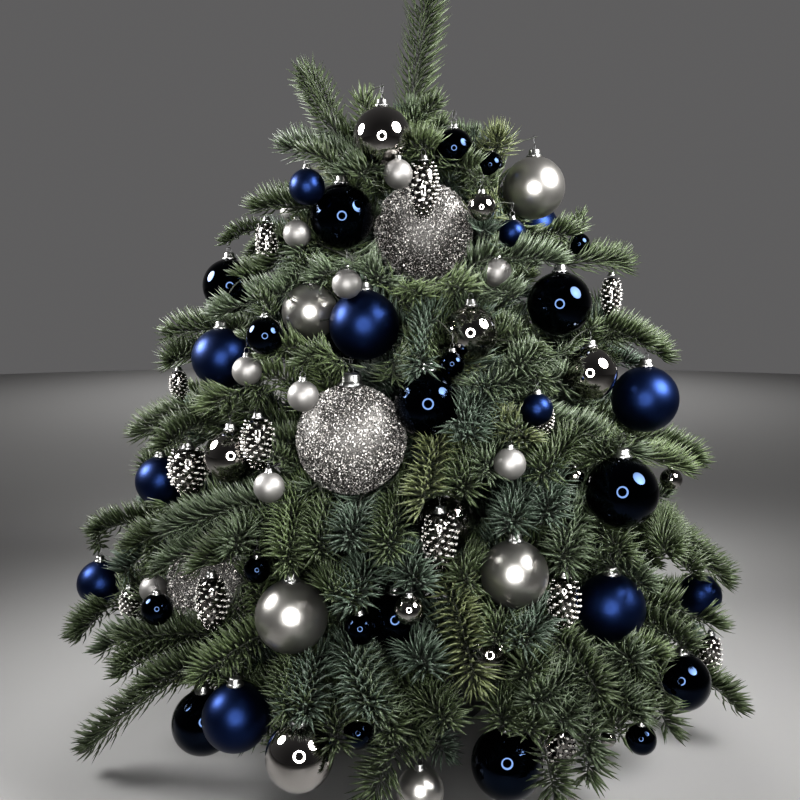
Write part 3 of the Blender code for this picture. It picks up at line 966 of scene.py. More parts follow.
# The tree's lines
def blend(low, high, share):
    """The value at a share of the way from one value to another."""
    return low + (high - low) * share


def crown_radius(height):
    """The crown's radius at a height, read from its outline."""
    outline = CROWN_OUTLINE + (CROWN_TIP,)
    for (z0, r0), (z1, r1) in zip(outline, outline[1:]):
        if height <= z1:
            return blend(r0, r1, (height - z0) / (z1 - z0))
    return 0.0


def trunk_share(height):
    """How far up the trunk a height is, from 0 to 1."""
    return (height - TRUNK_FOOT) / (TRUNK_TOP - TRUNK_FOOT)


def trunk_radius(height):
    """The trunk's radius at a height."""
    taper = trunk_share(height) ** TRUNK_TAPER_POWER
    return blend(TRUNK_FOOT_RADIUS, TRUNK_TIP_RADIUS, taper)


def trunk_centre(height):
    """The middle of the trunk at a height, with its slight sway."""
    share = trunk_share(height)
    sway = TRUNK_SWAY * math.sin(2 * math.pi * share) * share
    return Vector((sway, -sway / 2, height))


def outward(azimuth):
    """The level way out from the trunk at an azimuth."""
    angle = math.radians(azimuth)
    return Vector((math.sin(angle), -math.cos(angle), 0))


def curve_point(line, t):
    """A point on a cubic curve that four points steer."""
    s = 1 - t
    a, b, c, d = line
    return a * s**3 + b * (3 * s * s * t) + c * (3 * s * t * t) + d * t**3


def curve_way(line, t):
    """The way that a curve runs at a point."""
    step = 0.01
    return (curve_point(line, t + step) - curve_point(line, t - step)).normalized()


def branch_line(whorl, number, seed):
    """The line of one bough and its spray, from the trunk's bark to the furthest tip."""
    chance = random.Random(seed)
    azimuth = whorl.first_azimuth + number * 360 / whorl.count
    azimuth += chance.uniform(-AZIMUTH_JITTER, AZIMUTH_JITTER)
    tip_height = whorl.tip_height + chance.uniform(-HEIGHT_JITTER, HEIGHT_JITTER)
    reach = crown_radius(tip_height) * (1 + chance.uniform(-REACH_JITTER, REACH_JITTER))
    reach -= TIP_NEEDLES
    out = outward(azimuth)
    root = trunk_centre(whorl.root_height) + out * (trunk_radius(whorl.root_height) + GAP)
    tip = Vector((0, 0, tip_height)) + out * reach
    handle = CURVE_HANDLE_SHARE * (tip - root).length
    angle = math.radians(whorl.end_slope)
    end_way = out * math.cos(angle) + UP * math.sin(angle)
    return root, root + out * handle, tip - end_way * handle, tip


def leader_line():
    """The line of the top shoot, from the trunk's tip on."""
    root = trunk_centre(TRUNK_TOP) + UP * GAP
    tip = trunk_centre(TRUNK_TOP) + LEADER_LEAN
    tip.z = TREE_TOP - TIP_NEEDLES
    return root, root.lerp(tip, 0.33) - LEADER_LEAN / 4, root.lerp(tip, 0.66), tip


class Branch:
    """A bough with its spray: its node, its line, and where along it the spray starts."""

    def __init__(self, whorl, number, seed):
        self.title = whorl.title
        self.node = f"foliage_{whorl.title}_{number + 1}"
        self.line = branch_line(whorl, number, seed)
        self.bough_radius = whorl.bough_radius
        self.shoot_length = whorl.side_shoot
        self.seed = seed
        self.start = BOUGH_SHARE if self.bough_radius else 0.0


@functools.cache
def branches():
    """All branches, whorl by whorl from the lowest one up."""
    return [
        Branch(whorl, number, FIRST_SEED + 100 * level + number)
        for level, whorl in enumerate(WHORLS)
        for number in range(whorl.count)
    ]


# Shoots
class Shoot:
    """One shoot: the node it belongs to, its line of points, its bare share, tint and size."""

    def __init__(self, node, points, bare, tint, size=1.0, radius=TWIG_RADIUS):
        self.node = node
        self.points = np.array(points, float)
        self.bare = bare
        self.tint = tint
        self.size = size
        self.radius = radius

    def length(self):
        """The length of its line."""
        return float(np.linalg.norm(np.diff(self.points, axis=0), axis=1).sum())


def pick_tint(chance):
    """A tint for one shoot, drawn by the tints' shares."""
    return chance.choices(TINTS, TINT_SHARES)[0]


def bent_line(root, heading, length, lift, steps=SHOOT_STEPS):
    """Points along a shoot that leaves one way and bends up or down towards its tip."""
    way = heading.normalized()
    return [
        root + way * (length * share) + UP * (lift * length * share * share)
        for share in (i / steps for i in range(steps + 1))
    ]


def tip_lift(height):
    """How far shoots bend up at their tips: down at the crown's foot and up at its top."""
    return blend(*TIP_LIFT, min(1.0, height / TIP_LIFT_HEIGHT))


def frame_at(line, t):
    """A point of a line with its way, the way across it and the one that points up from both."""
    way = curve_way(line, t)
    across = way.cross(UP).normalized()
    return curve_point(line, t), way, across, across.cross(way)


def pair_shoots(branch):
    """Side shoots in pairs along the stem: the solids' own, and finer ones between them."""
    shoots = []
    for station, share in enumerate(STATIONS):
        root, way, across, normal = frame_at(branch.line, blend(branch.start, 1.0, share))
        is_solid = station < SOLID_STATIONS
        for side in (-1, 1):
            chance = random.Random(branch.seed * 1000 + station * 10 + side)
            jitter = chance.uniform(-SHOOT_ANGLE_JITTER, SHOOT_ANGLE_JITTER)
            angle = math.radians(SHOOT_ANGLE + jitter)
            rise = chance.uniform(*(SHOOT_LIFT if is_solid else FINER_LIFT))
            lift = math.sin(math.radians(rise))
            length = branch.shoot_length * (1 - SHOOT_SHORTENING * share)
            length *= chance.uniform(*SHOOT_LENGTH_JITTER) * (1.0 if is_solid else FINER_LENGTH)
            heading = way * math.cos(angle) + across * (side * math.sin(angle)) + normal * lift
            line = bent_line(root, heading, length, tip_lift(root.z) * PAIR_TIP_LIFT_SHARE)
            shoots.append(Shoot(branch.node, line, PAIR_BARE, pick_tint(chance)))
    return shoots


def upper_shoots(branch):
    """Shoots that stand up from the stem and fill the room above it."""
    shoots = []
    for station, share in enumerate(UPPER_STATIONS):
        root, way, across, normal = frame_at(branch.line, blend(branch.start, 1.0, share))
        chance = random.Random(branch.seed * 2000 + station)
        angle = math.radians(chance.uniform(*UPPER_ANGLE))
        aside = chance.uniform(*UPPER_ASIDE)
        heading = way * math.cos(angle) + normal * math.sin(angle) + across * aside
        length = branch.shoot_length * UPPER_LENGTH * chance.uniform(*UPPER_LENGTH_JITTER)
        line = bent_line(root, heading, length, UPPER_TIP_LIFT)
        shoots.append(Shoot(branch.node, line, SHOOT_BARE, pick_tint(chance)))
    return shoots


def sub_shoots(shoot, seed):
    """One short pair on a long side shoot."""
    total = shoot.length()
    if total < SUB_SHOOT_LEAST:
        return []
    index = int(SUB_STATION * (len(shoot.points) - 1))
    root = Vector(shoot.points[index])
    way = Vector(shoot.points[index + 1] - shoot.points[index]).normalized()
    across = way.cross(UP).normalized()
    normal = across.cross(way)
    found = []
    for side in (-1, 1):
        chance = random.Random(seed * 10 + side)
        angle = math.radians(chance.uniform(*SUB_ANGLE))
        lift = chance.uniform(*SUB_LIFT)
        heading = way * math.cos(angle) + across * (side * math.sin(angle)) + normal * lift
        length = total * SUB_SHOOT_LENGTH * chance.uniform(*SUB_LENGTH_JITTER)
        lift_at_tip = tip_lift(root.z) * SUB_TIP_LIFT_SHARE
        line = bent_line(root, heading, length, lift_at_tip, SUB_SHOOT_STEPS)
        found.append(Shoot(shoot.node, line, SHOOT_BARE, shoot.tint, SUB_SIZE, SUB_TWIG_RADIUS))
    return found


def stem_shoot(branch):
    """The stem with its own end, dressed from its foot on."""
    line = [
        curve_point(branch.line, blend(branch.start, 1.0, i / STEM_STEPS)) for i in range(STEM_STEPS + 1)
    ]
    radius = branch.bough_radius * BOUGH_TAPER or STEM_RADIUS
    tint = pick_tint(random.Random(branch.seed))
    return Shoot(branch.node, line, STEM_BARE, tint, radius=radius)


def inner_shoots(branch):
    """Dark shoots along a bough, inside the crown, their darker green painted shade."""
    found = []
    for station, share in enumerate(INNER_STATIONS):
        root, way, across, normal = frame_at(branch.line, share)
        for side in (-1, 1):
            chance = random.Random(branch.seed * 3000 + station * 10 + side)
            aside = across * (side * chance.uniform(*INNER_ASIDE))
            heading = way + aside + normal * chance.uniform(*INNER_LIFT)
            length = INNER_LENGTH * chance.uniform(*INNER_LENGTH_JITTER)
            line = bent_line(root, heading, length, 0.0, INNER_STEPS)
            found.append(Shoot(branch.node, line, INNER_BARE, "dark", radius=INNER_TWIG_RADIUS))
    return found


def trunk_shoots():
    """Short dark shoots between the whorls, up the trunk, their darker green painted shade."""
    found = []
    chance = random.Random(FIRST_SEED)
    for number in range(TRUNK_SHOOTS):
        highest = TRUNK_TOP - TRUNK_SHOOTS_BELOW_TOP
        height = blend(TRUNK_SHOOTS_FROM, highest, number / TRUNK_SHOOTS)
        out = outward(number * GOLDEN_ANGLE)
        root = trunk_centre(height) + out * trunk_radius(height) * TRUNK_SHOOT_ROOT_SHARE
        length = chance.uniform(*TRUNK_SHOOT_LENGTH)
        heading = out + UP * chance.uniform(*TRUNK_SHOOT_RISE)
        line = bent_line(root, heading, length, 0.0, INNER_STEPS)
        nearest = min(branches(), key=lambda branch: (branch.line[0] - root).length)
        found.append(Shoot(nearest.node, line, SHOOT_BARE, "dark", radius=INNER_TWIG_RADIUS))
    return found


def leader_shoots():
    """The leader and the open whorl at its foot."""
    line = leader_line()
    points = [curve_point(line, i / LEADER_STEPS) for i in range(LEADER_STEPS + 1)]
    found = [Shoot("foliage_leader", points, LEADING_BARE, "mid", LEADER_SIZE, LEADER_RADIUS)]
    for number in range(LEADER_SHOOTS):
        chance = random.Random(FIRST_SEED + 9000 + number)
        heading = outward(LEADER_SHOOT_AZIMUTH + number * 360 / LEADER_SHOOTS) + UP * LEADER_SHOOT_RISE
        length = LEADER_SHOOT_LENGTH * chance.uniform(*LEADER_LENGTH_JITTER)
        bent = bent_line(line[0], heading, length, LEADER_SHOOT_LIFT, SUB_SHOOT_STEPS)
        found.append(Shoot("foliage_leader", bent, SHOOT_BARE, "mid"))
    return found


# The photo's view
def sight(x, y):
    """The line of sight through a pixel of the photo, a metre deep."""
    aside = (x - PHOTO_SIZE / 2) / PHOTO_FOCAL
    down = (y - PHOTO_SIZE / 2) / PHOTO_FOCAL
    return FORWARD + RIGHT * aside - ABOVE * down


def seen_at(points):
    """Photo x, y and depth of points, as an array."""
    away = np.asarray(points, float) - np.array(CAMERA_PLACE)
    depth = away @ np.array(FORWARD)
    x = PHOTO_SIZE / 2 + PHOTO_FOCAL * (away @ np.array(RIGHT)) / depth
    y = PHOTO_SIZE / 2 - PHOTO_FOCAL * (away @ np.array(ABOVE)) / depth
    return x, y, depth


def on_crown(x, y, share):
    """Where the line of sight meets the crown at a share of its radius, or comes nearest to it."""
    ray = sight(x, y)
    best_miss, best = math.inf, None
    for step in range(SIGHT_STEPS):
        point = CAMERA_PLACE + ray * (SIGHT_START + step * SIGHT_STEP)
        miss = math.hypot(point.x, point.y) - share * crown_radius(point.z)
        if miss <= 0:
            return point
        if miss < best_miss:
            best_miss, best = miss, point
    return best


def smoothed(points):
    """Cuts the corners of a line of points, and keeps its ends."""
    for _ in range(CORNER_ROUNDS):
        cut = [points[0]]
        for a, b in zip(points, points[1:]):
            cut += [a.lerp(b, 0.25), a.lerp(b, 0.75)]
        points = cut + [points[-1]]
    return points


def free_holds():
    """Points along the stems, each with its node, that lie in no decoration."""
    holds = []
    for branch in branches():
        for i in range(FIRST_HOLD, LAST_HOLD + 1):
            point = curve_point(branch.line, i / HOLD_STEPS)
            if not any((point - item.centre).length < item.radius for item in decorations()):
                holds.append((point, branch.node))
    return holds


def front_shoots():
    """The shoots that stand out in the photo, each grown on from the nearest stem further in."""
    holds = free_holds()
    found = []
    for root_x, root_y, tip_x, tip_y, tint in FRONT_SHOOTS:
        held_back = 1 - NEEDLES_PAST_TIP / math.hypot(tip_x - root_x, tip_y - root_y)
        tip_x = root_x + (tip_x - root_x) * held_back
        tip_y = root_y + (tip_y - root_y) * held_back
        root = on_crown(root_x, root_y, ROOT_DEPTH_SHARE)
        tip = on_crown(tip_x, tip_y, TIP_DEPTH_SHARE)
        hold, node = min(holds, key=lambda item: hold_cost(item[0], root))
        middle = root.lerp(tip, 0.5) + UP * (FRONT_ARCH * (tip - root).length)
        line = smoothed([hold, hold.lerp(root, HOLD_TO_ROOT_SHARE), root, middle, tip])
        found.append(Shoot(node, line, LEADING_BARE, tint, FRONT_SIZE, FRONT_TWIG_RADIUS))
    return found


def hold_cost(hold, root):
    """The distance from a stem to a shoot's root, longer for stems that lie further out."""
    further = max(0.0, math.hypot(hold.x, hold.y) - math.hypot(root.x, root.y) + HOLD_BEHIND)
    return (hold - root).length + HOLD_COST * further


def runs_with(shoot, others):
    """Whether a shoot's outer half runs along one of the front shoots."""
    outer = shoot.points[len(shoot.points) // 2:]
    gaps = np.linalg.norm(outer[:, None] - others[None], axis=2).min(axis=1)
    return gaps.mean() < MINGLE_DISTANCE


@functools.cache
def crown_shoots():
    """All shoots, with each one that would run through or before a decoration cut short."""
    found = []
    for branch in branches():
        pairs = pair_shoots(branch)
        found.append(stem_shoot(branch))
        found += pairs + upper_shoots(branch)
        for number, shoot in enumerate(pairs[:2 * SOLID_STATIONS]):
            found += sub_shoots(shoot, branch.seed * 100 + number)
        if branch.bough_radius:
            found += inner_shoots(branch)
    front = front_shoots() + leader_shoots()[:1]
    along = np.concatenate([shoot.points[6:] for shoot in front])
    found = [shoot for shoot in found if not runs_with(shoot, along)]
    found += trunk_shoots() + leader_shoots()[1:]
    found = [cut_short(shoot, is_front=False) for shoot in found]
    found += [cut_short(shoot, is_front=True) for shoot in front]
    found = [shoot for shoot in found if shoot is not None]
    return found + carriers(found)


def beyond_reach(points):
    """Marks the points past the crown's reach, where the photo's own shoots make its edge."""
    reach = np.hypot(points[:, 0], points[:, 1])
    most = np.array([crown_radius(height) for height in points[:, 2]])
    share = np.ones(len(points))
    share[points[:, 1] < -FRONT_SIDE_SHARE * reach] = FRONT_FILL_SHARE
    x, y, _ = seen_at(points)
    low = y > np.interp(x, *zip(*LOWER_EDGE))
    rows, left, right = zip(*CROWN_EDGE)
    aside = (x < np.interp(y, rows, left)) | (x > np.interp(y, rows, right)) | (y < rows[0])
    return (reach > most * share - TIP_NEEDLES) | (low & (points[:, 1] < 0)) | aside


def pushed_clear(points):
    """The points of a shoot, each moved round the back of a decoration that it would run through."""
    for _ in range(2):
        for item in decorations():
            centre = np.array(item.centre)
            away = points - centre
            least = item.radius + TWIG_CLEARANCE
            inside = np.linalg.norm(away, axis=1) < least
            if inside.any():
                inward = -centre * np.array([1.0, 1.0, 0.0])
                inward *= PUSH_INWARD * item.radius / max(np.linalg.norm(inward), 1e-6)
                points = np.where(inside[:, None], centre + unit(away + inward) * least, points)
    points[:, 2] = np.maximum(points[:, 2], LOWEST_SHOOT)
    return points


def cut_short(shoot, is_front):
    """The shoot up to where it would hide a decoration or leave the crown, or None if little is left."""
    shoot.points = pushed_clear(shoot.points)
    points = shoot.points
    blocked = np.zeros(len(points), bool)
    if not is_front:
        blocked |= beyond_reach(points)
    x, y, depth = seen_at(points)
    for item in decorations():
        if item.shown:
            across = np.hypot(x - item.photo_x, y - item.photo_y)
            clear = item.photo_radius * item.shown
            blocked |= (across < clear) & (depth < item.depth)
    if is_front:
        # Its foot may pass behind needles, so only its outer half is looked at
        blocked[:len(points) // 2] = False
    if blocked.any():
        first = int(np.argmax(blocked))
        if first < max(2, len(points) * SHORTEST_SHARE):
            return None
        shoot.points = points[:first]
    return shoot


def carriers(shoots):
    """Short twigs that reach from the nearest shoot to above each decoration with nothing to hang on."""
    holds = np.concatenate([shoot.points for shoot in shoots])
    nodes = [shoot.node for shoot in shoots for _ in shoot.points]
    found = []
    for item in decorations():
        hook = cap_top(item) + UP * THREAD_LENGTH
        away = holds - np.array(hook)
        above = (np.hypot(away[:, 0], away[:, 1]) < THREAD_ASIDE) & (away[:, 2] > -THREAD_BELOW)
        if (above & (away[:, 2] < THREAD_LENGTH)).any():
            continue
        inner = np.hypot(holds[:, 0], holds[:, 1]) < math.hypot(hook.x, hook.y)
        gaps = np.linalg.norm(away, axis=1) + np.where(inner, 0, 1)
        nearest = int(np.argmin(gaps))
        start = Vector(holds[nearest])
        end = hook + (hook - start).normalized() * CARRIER_PAST
        middle = start.lerp(hook, 0.5) + UP * CARRIER_ARCH
        line = smoothed([start, middle, hook, end])
        bare = 1.0 if item.shown and hook.z > BARE_CARRIERS_ABOVE else CARRIER_BARE
        found.append(Shoot(nodes[nearest], line, bare, "mid", CARRIER_SIZE, CARRIER_RADIUS))
    return found


# Decorations and where they hang
class Decoration:
    """A ball or a cone: its kind, centre and radius, and how it shows in the photo."""

    def __init__(self, kind, centre, radius, height=None, photo=None):
        self.kind = kind
        self.centre = centre
        self.radius = radius
        self.height = height or 2 * radius
        self.photo_x, self.photo_y, self.photo_radius, self.shown = photo or (0, 0, 0, 0)
        self.depth = float(seen_at([centre])[2][0])

    def move_back(self, distance):
        """Moves it away along the line of sight, with the same size in the photo."""
        growth = (self.depth + distance) / self.depth
        self.centre = CAMERA_PLACE + (self.centre - CAMERA_PLACE) * growth
        self.radius *= growth
        self.height *= growth
        self.depth += distance


def front_decoration(kind, x, y, half_width, height, shown):
    """A decoration where the photo shows it, at the depth of its trade size or of the crown there."""
    surface = on_crown(x, y, BALL_DEPTH_SHARE)
    surface_depth = float(seen_at([surface])[2][0])
    across = height if kind == "cone" else 2 * half_width
    trade_depth = PHOTO_FOCAL * TRADE_DIAMETER[kind] / across
    depth = max(surface_depth - DEPTH_PLAY, min(surface_depth + DEPTH_PLAY, trade_depth))
    scale = depth / PHOTO_FOCAL
    centre = CAMERA_PLACE + sight(x, y) * depth
    return Decoration(kind, centre, half_width * scale, height * scale, (x, y, half_width, shown))


def back_decorations(taken):
    """The same kinds carried on round the back by a seeded rule."""
    chance = random.Random(BACK_SEED)
    found = []
    for number in range(BACK_COUNT):
        kind = BACK_KINDS[number % len(BACK_KINDS)]
        size = TRADE_DIAMETER[kind]
        radius = size * (CONE_RADIUS_SHARE if kind == "cone" else 0.5)
        for _ in range(BACK_TRIES):
            height = BACK_LOWEST + BACK_HEIGHT * chance.random() ** BACK_HEIGHT_POWER
            crown = crown_radius(height)
            reach = crown * BACK_REACH_SHARE - radius * BACK_SINK_SHARE
            centre = outward(chance.uniform(*BACK_AZIMUTHS)) * reach + UP * height
            if fits_behind(centre, radius, crown, taken + found):
                found.append(Decoration(kind, centre, radius, size))
                break
    return found


def fits_behind(centre, radius, crown, others):
    """Whether a decoration is out of the photo's sight behind the crown, and clear of the others."""
    edge = BACK_EDGE_SHARE * crown * (1 + centre.y / -CAMERA_PLACE.y)
    return abs(centre.x) + radius < edge and all(
        (centre - item.centre).length > radius + item.radius + BACK_SPACING for item in others
    )


@functools.cache
def decorations():
    """All decorations, those of the photo first, with no two in each other's way."""
    found = [front_decoration(kind, x, y, r, 2 * r, shown) for kind, x, y, r, shown in BALLS]
    found += [front_decoration("cone", x, y, w / 2, h, CONE_CLEAR_SHARE) for x, y, w, h in CONES]
    for _ in range(SPREAD_ROUNDS):
        for one, other in itertools.combinations(found, 2):
            distance = (one.centre - other.centre).length
            overlap = one.radius + other.radius + SPREAD_GAP - distance
            if overlap > 0:
                deeper = max(one, other, key=lambda item: item.depth + item.radius)
                deeper.move_back(overlap * SPREAD_SHARE)
    return found + back_decorations(found)


def of_kind(kind):
    """The decorations of one kind."""
    return [item for item in decorations() if item.kind == kind]


# Needles
def needle_template(rings):
    """A closed three-sided needle along +Y, from its root to its point.

    It has unit length and unit half width. The first ring may be a point too.
    """
    bm = bmesh.new()
    loops = []
    for place, size in rings:
        if size == 0:
            loops.append([bm.verts.new((0, place, 0))])
            continue
        turns = (math.radians(turn) for turn in (90, 210, 330))
        corners = ((size * math.cos(t), place, NEEDLE_THICKNESS * size * math.sin(t)) for t in turns)
        loops.append([bm.verts.new(corner) for corner in corners])
    for near, far in zip(loops, loops[1:]):
        for i in range(3):
            corners = [near[i % len(near)], near[(i + 1) % len(near)]]
            corners += [far[(i + 1) % len(far)], far[i % len(far)]]
            bm.faces.new(dict.fromkeys(corners))
    if len(loops[0]) == 3:
        bm.faces.new(loops[0])
    return template_of(bm)


def unit(rows):
    """Each row of an array at unit length."""
    return rows / np.maximum(np.linalg.norm(rows, axis=1, keepdims=True), 1e-9)


def read_along(at, places, rows):
    """Rows of an array read between its places, all three axes at once."""
    return np.stack([np.interp(at, places, rows[:, axis]) for axis in range(3)], axis=1)


def needle_places(shoot, total, settings, chance):
    """Distances from a shoot's foot to its needles, crowded towards the tip."""
    density = settings.inner_per_metre if shoot.tint == "dark" else settings.needles_per_metre
    dressed = total - shoot.bare * total
    count = int(dressed * density)
    even = (np.arange(count) + chance.uniform(0, PLACE_JITTER, count)) / max(count, 1)
    return shoot.bare * total + dressed * (1 - (1 - even) ** TIP_CROWDING)


def upper_side(way, tip):
    """The way to a shoot's upper side at each needle, and how level the shoot runs there."""
    out = tip * np.array([1.0, 1.0, 0.0])
    out /= max(np.linalg.norm(out), 1e-6)
    skyward = np.array([0.0, 0.0, 1.0]) + SKYWARD_LEAN * out
    skyward /= np.linalg.norm(skyward)
    flatness = 1.0 - abs((way @ skyward)) ** 2
    return unit(skyward - way * (way @ skyward)[:, None] + 1e-4), flatness


def needle_turns(count, flatness, chance):
    """Angles of the needles round their shoot, from its upper side."""
    turn = np.arange(count) * math.radians(GOLDEN_ANGLE) + chance.normal(0, TURN_JITTER, count)
    turn = np.mod(turn + math.pi, 2 * math.pi) - math.pi
    return turn * (1.0 - (1.0 - SWEPT_SHARE) * flatness)


def needle_leans(turn, from_tip, flatness, hanging, settings, chance):
    """Angles between the needles and their shoot, smaller at its tip."""
    at_end = chance.uniform(*TIP_LEAN, len(turn))
    lean = settings.needle_lean * (at_end + (1 - at_end) * from_tip ** TIP_LEAN_POWER)
    lean *= 1.0 - TOP_NEEDLE_FORWARD * flatness * np.clip(np.cos(turn), 0, 1)
    lean *= 1.0 - HANGING_FORWARD * hanging
    return lean + chance.normal(0, LEAN_JITTER, len(turn))


def needles_of(shoot, settings, chance):
    """Roots, ways, bends, lengths and widths of the needles on a shoot.

    On a level shoot the lower needles sweep round its sides and all of them turn up. On an upright
    one they stand all round.
    """
    points = shoot.points
    along = np.concatenate([[0.0], np.cumsum(np.linalg.norm(np.diff(points, axis=0), axis=1))])
    total = along[-1]
    at = needle_places(shoot, total, settings, chance)
    root = read_along(at, along, points)
    way = unit(read_along(at, (along[:-1] + along[1:]) / 2, unit(np.diff(points, axis=0))))
    from_root = np.clip((at - shoot.bare * total) / settings.needle_length, 0, 1)
    from_tip = np.clip((total - at) / (settings.needle_length * TIP_ZONE), 0, 1)
    hanging = np.clip(-way[:, 2], 0, 1)
    up, flatness = upper_side(way, points[-1])
    turn = needle_turns(len(at), flatness, chance)
    lean = needle_leans(turn, from_tip, flatness, hanging, settings, chance)
    radial = up * np.cos(turn)[:, None] + np.cross(way, up) * np.sin(turn)[:, None]
    heading = way * np.cos(lean)[:, None] + radial * np.sin(lean)[:, None]
    pull = (NEEDLE_PULL + HANGING_PULL * hanging) * blend(PULL_AT_TIP, 1.0, from_tip)
    heading = unit(heading + np.array([0.0, 0.0, 1.0]) * pull[:, None])
    rise = blend(RISE_UPRIGHT, 1.0, flatness) * blend(RISE_AT_TIP, 1.0, from_tip)
    bend = way * blend(*BEND_FORWARD, from_tip)[:, None] + up * rise[:, None]
    bend = unit(bend - heading * (bend * heading).sum(axis=1, keepdims=True))
    length = settings.needle_length * shoot.size * blend(LENGTH_AT_FOOT, 1.0, from_root)
    length *= blend(LENGTH_AT_TIP, 1.0, from_tip) * chance.uniform(*LENGTH_JITTER, len(at))
    width = settings.needle_width / 2 * chance.uniform(*WIDTH_JITTER, len(at))
    if shoot.tint == "dark":
        length *= INNER_NEEDLE_LENGTH
        width *= INNER_NEEDLE_WIDTH
    return root, heading, bend, length, width


def hidden_by(items, ends):
    """Marks the needles that would reach into a decoration, or hide one that the photo shows."""
    blocked = np.zeros(len(ends[0]), bool)
    for points in ends:
        x, y, depth = seen_at(points)
        blocked |= points[:, 2] < LOWEST_NEEDLE
        for item in items:
            blocked |= np.linalg.norm(points - np.array(item.centre), axis=1) < item.radius
            if item.shown:
                across = np.hypot(x - item.photo_x, y - item.photo_y)
                blocked |= (across < item.photo_radius * item.shown) & (depth < item.depth)
    return blocked


def needles_object(name, shoots, settings, finishes):
    """All needles of one node's shoots as one mesh, with a finish for each tint."""
    seed = sum(ord(letter) * (place + 1) for place, letter in enumerate(name))
    chance = np.random.default_rng(seed)
    points, triangles, slots = [], [], []
    total = 0
    for is_inner in (False, True):
        chosen = [shoot for shoot in shoots if (shoot.tint == "dark") == is_inner]
        if not chosen:
            continue
        corners, faces = needle_template(INNER_NEEDLE_RINGS if is_inner else NEEDLE_RINGS)
        placed, tint = placed_needles(corners, chosen, settings, chance)
        offsets = total + np.arange(len(placed))[:, None, None] * len(corners)
        points.append(placed.reshape(-1, 3))
        triangles.append((faces[None] + offsets).reshape(-1, 3))
        slots.append(np.repeat(tint, len(faces)))
        total += len(placed) * len(corners)
    return mesh_object(
        name, np.concatenate(points), np.concatenate(triangles), finishes, np.concatenate(slots)
    )


def placed_needles(corners, shoots, settings, chance):
    """The corners of each shoot's needles, without those that are in a decoration's way."""
    parts = [needles_of(shoot, settings, chance) for shoot in shoots]
    root, heading, bend, length, width = (np.concatenate(part) for part in zip(*parts))
    counts = [len(part[0]) for part in parts]
    tint = np.repeat([TINTS.index(shoot.tint) for shoot in shoots], counts)
    tip = root + heading * length[:, None] + bend * (NEEDLE_BEND * length)[:, None]
    middle = root + heading * (0.5 * length)[:, None]
    near = [item for item in decorations() if is_near(item, root)]
    kept = ~hidden_by(near, (tip, middle, root))
    root, heading, bend = root[kept], heading[kept], bend[kept]
    length, width = length[kept], width[kept]
    across = np.cross(heading, bend)
    x, y, z = corners.T
    placed = (
        root[:, None]
        + heading[:, None] * (length[:, None] * y)[..., None]
        + across[:, None] * (width[:, None] * x)[..., None]
        + bend[:, None] * (width[:, None] * z + length[:, None] * NEEDLE_BEND * y * y)[..., None]
    )
    return placed, tint[kept]


def is_near(item, points):
    """Whether a decoration lies among some points, or between them and the photo's camera."""
    if item.shown:
        return True
    centre = np.array(item.centre)
    is_above = centre > points.min(axis=0) - NEAR_MARGIN
    is_below = centre < points.max(axis=0) + NEAR_MARGIN
    return bool((is_above & is_below).all())


# Bark
def ring_places(centres, ways, radii):
    """A matrix for each ring of a limb, turned along with it and without a twist."""
    turn = UP.rotation_difference(ways[0])
    places = []
    for centre, radius, last, way in zip(centres, radii, [ways[0], *ways], ways):
        turn = last.rotation_difference(way) @ turn
        size = Matrix.Diagonal((radius, radius, radius, 1.0))
        places.append(Matrix.Translation(centre) @ turn.to_matrix().to_4x4() @ size)
    return places


def add_limb(bm, centres, ways, radii, sides):
    """Adds one closed limb, a disc extruded through the centres."""
    places = ring_places(centres, ways, radii)
    disc = bmesh.ops.create_circle(bm, cap_ends=True, segments=sides, radius=1.0, matrix=places[0])
    face = foot = disc["verts"][0].link_faces[0]
    for last, place in zip(places, places[1:]):
        grown = bmesh.ops.extrude_face_region(bm, geom=[face])["geom"]
        corners = [item for item in grown if isinstance(item, bmesh.types.BMVert)]
        bmesh.ops.transform(bm, matrix=place @ last.inverted(), verts=corners)
        if face != foot:
            bmesh.ops.delete(bm, geom=[face], context="FACES_ONLY")
        face = next(item for item in grown if isinstance(item, bmesh.types.BMFace))


def roughen(bm, relief):
    """Moves the bark's corners in and out: ridges along the limb, broken by finer lumps."""
    bm.normal_update()
    for vert in bm.verts:
        place = vert.co
        stretched = Vector((place.x * RIDGES_ACROSS, place.y * RIDGES_ACROSS, place.z * RIDGES_ALONG))
        height = RIDGE_SHARE * noise.noise(stretched) + LUMP_SHARE * noise.noise(place * LUMPS)
        vert.co = place + vert.normal * (relief * height)


def trunk_piece(settings, finish):
    """The trunk with its bark."""
    heights = [blend(TRUNK_FOOT, TRUNK_TOP, i / TRUNK_RINGS) for i in range(TRUNK_RINGS + 1)]
    centres = [trunk_centre(height) for height in heights]
    radii = [trunk_radius(height) for height in heights]
    bm = bmesh.new()
    add_limb(bm, centres, [UP] * len(centres), radii, TRUNK_SIDES)
    roughen(bm, settings.relief)
    return bmesh_object(bm, "trunk_bark", finish)


def boughs_piece(title, settings, finish):
    """The boughs of one whorl, with their bark, as one piece."""
    bm = bmesh.new()
    shares = [i / BOUGH_RINGS for i in range(BOUGH_RINGS + 1)]
    for branch in branches():
        if branch.title == title:
            centres = [curve_point(branch.line, BOUGH_SHARE * share) for share in shares]
            ways = [curve_way(branch.line, BOUGH_SHARE * share) for share in shares]
            radii = [branch.bough_radius * blend(1.0, BOUGH_TAPER, share) for share in shares]
            add_limb(bm, centres, ways, radii, BOUGH_SIDES)
    roughen(bm, settings.relief * BOUGH_RELIEF_SHARE)
    return bmesh_object(bm, f"bark_{title}_boughs", finish)


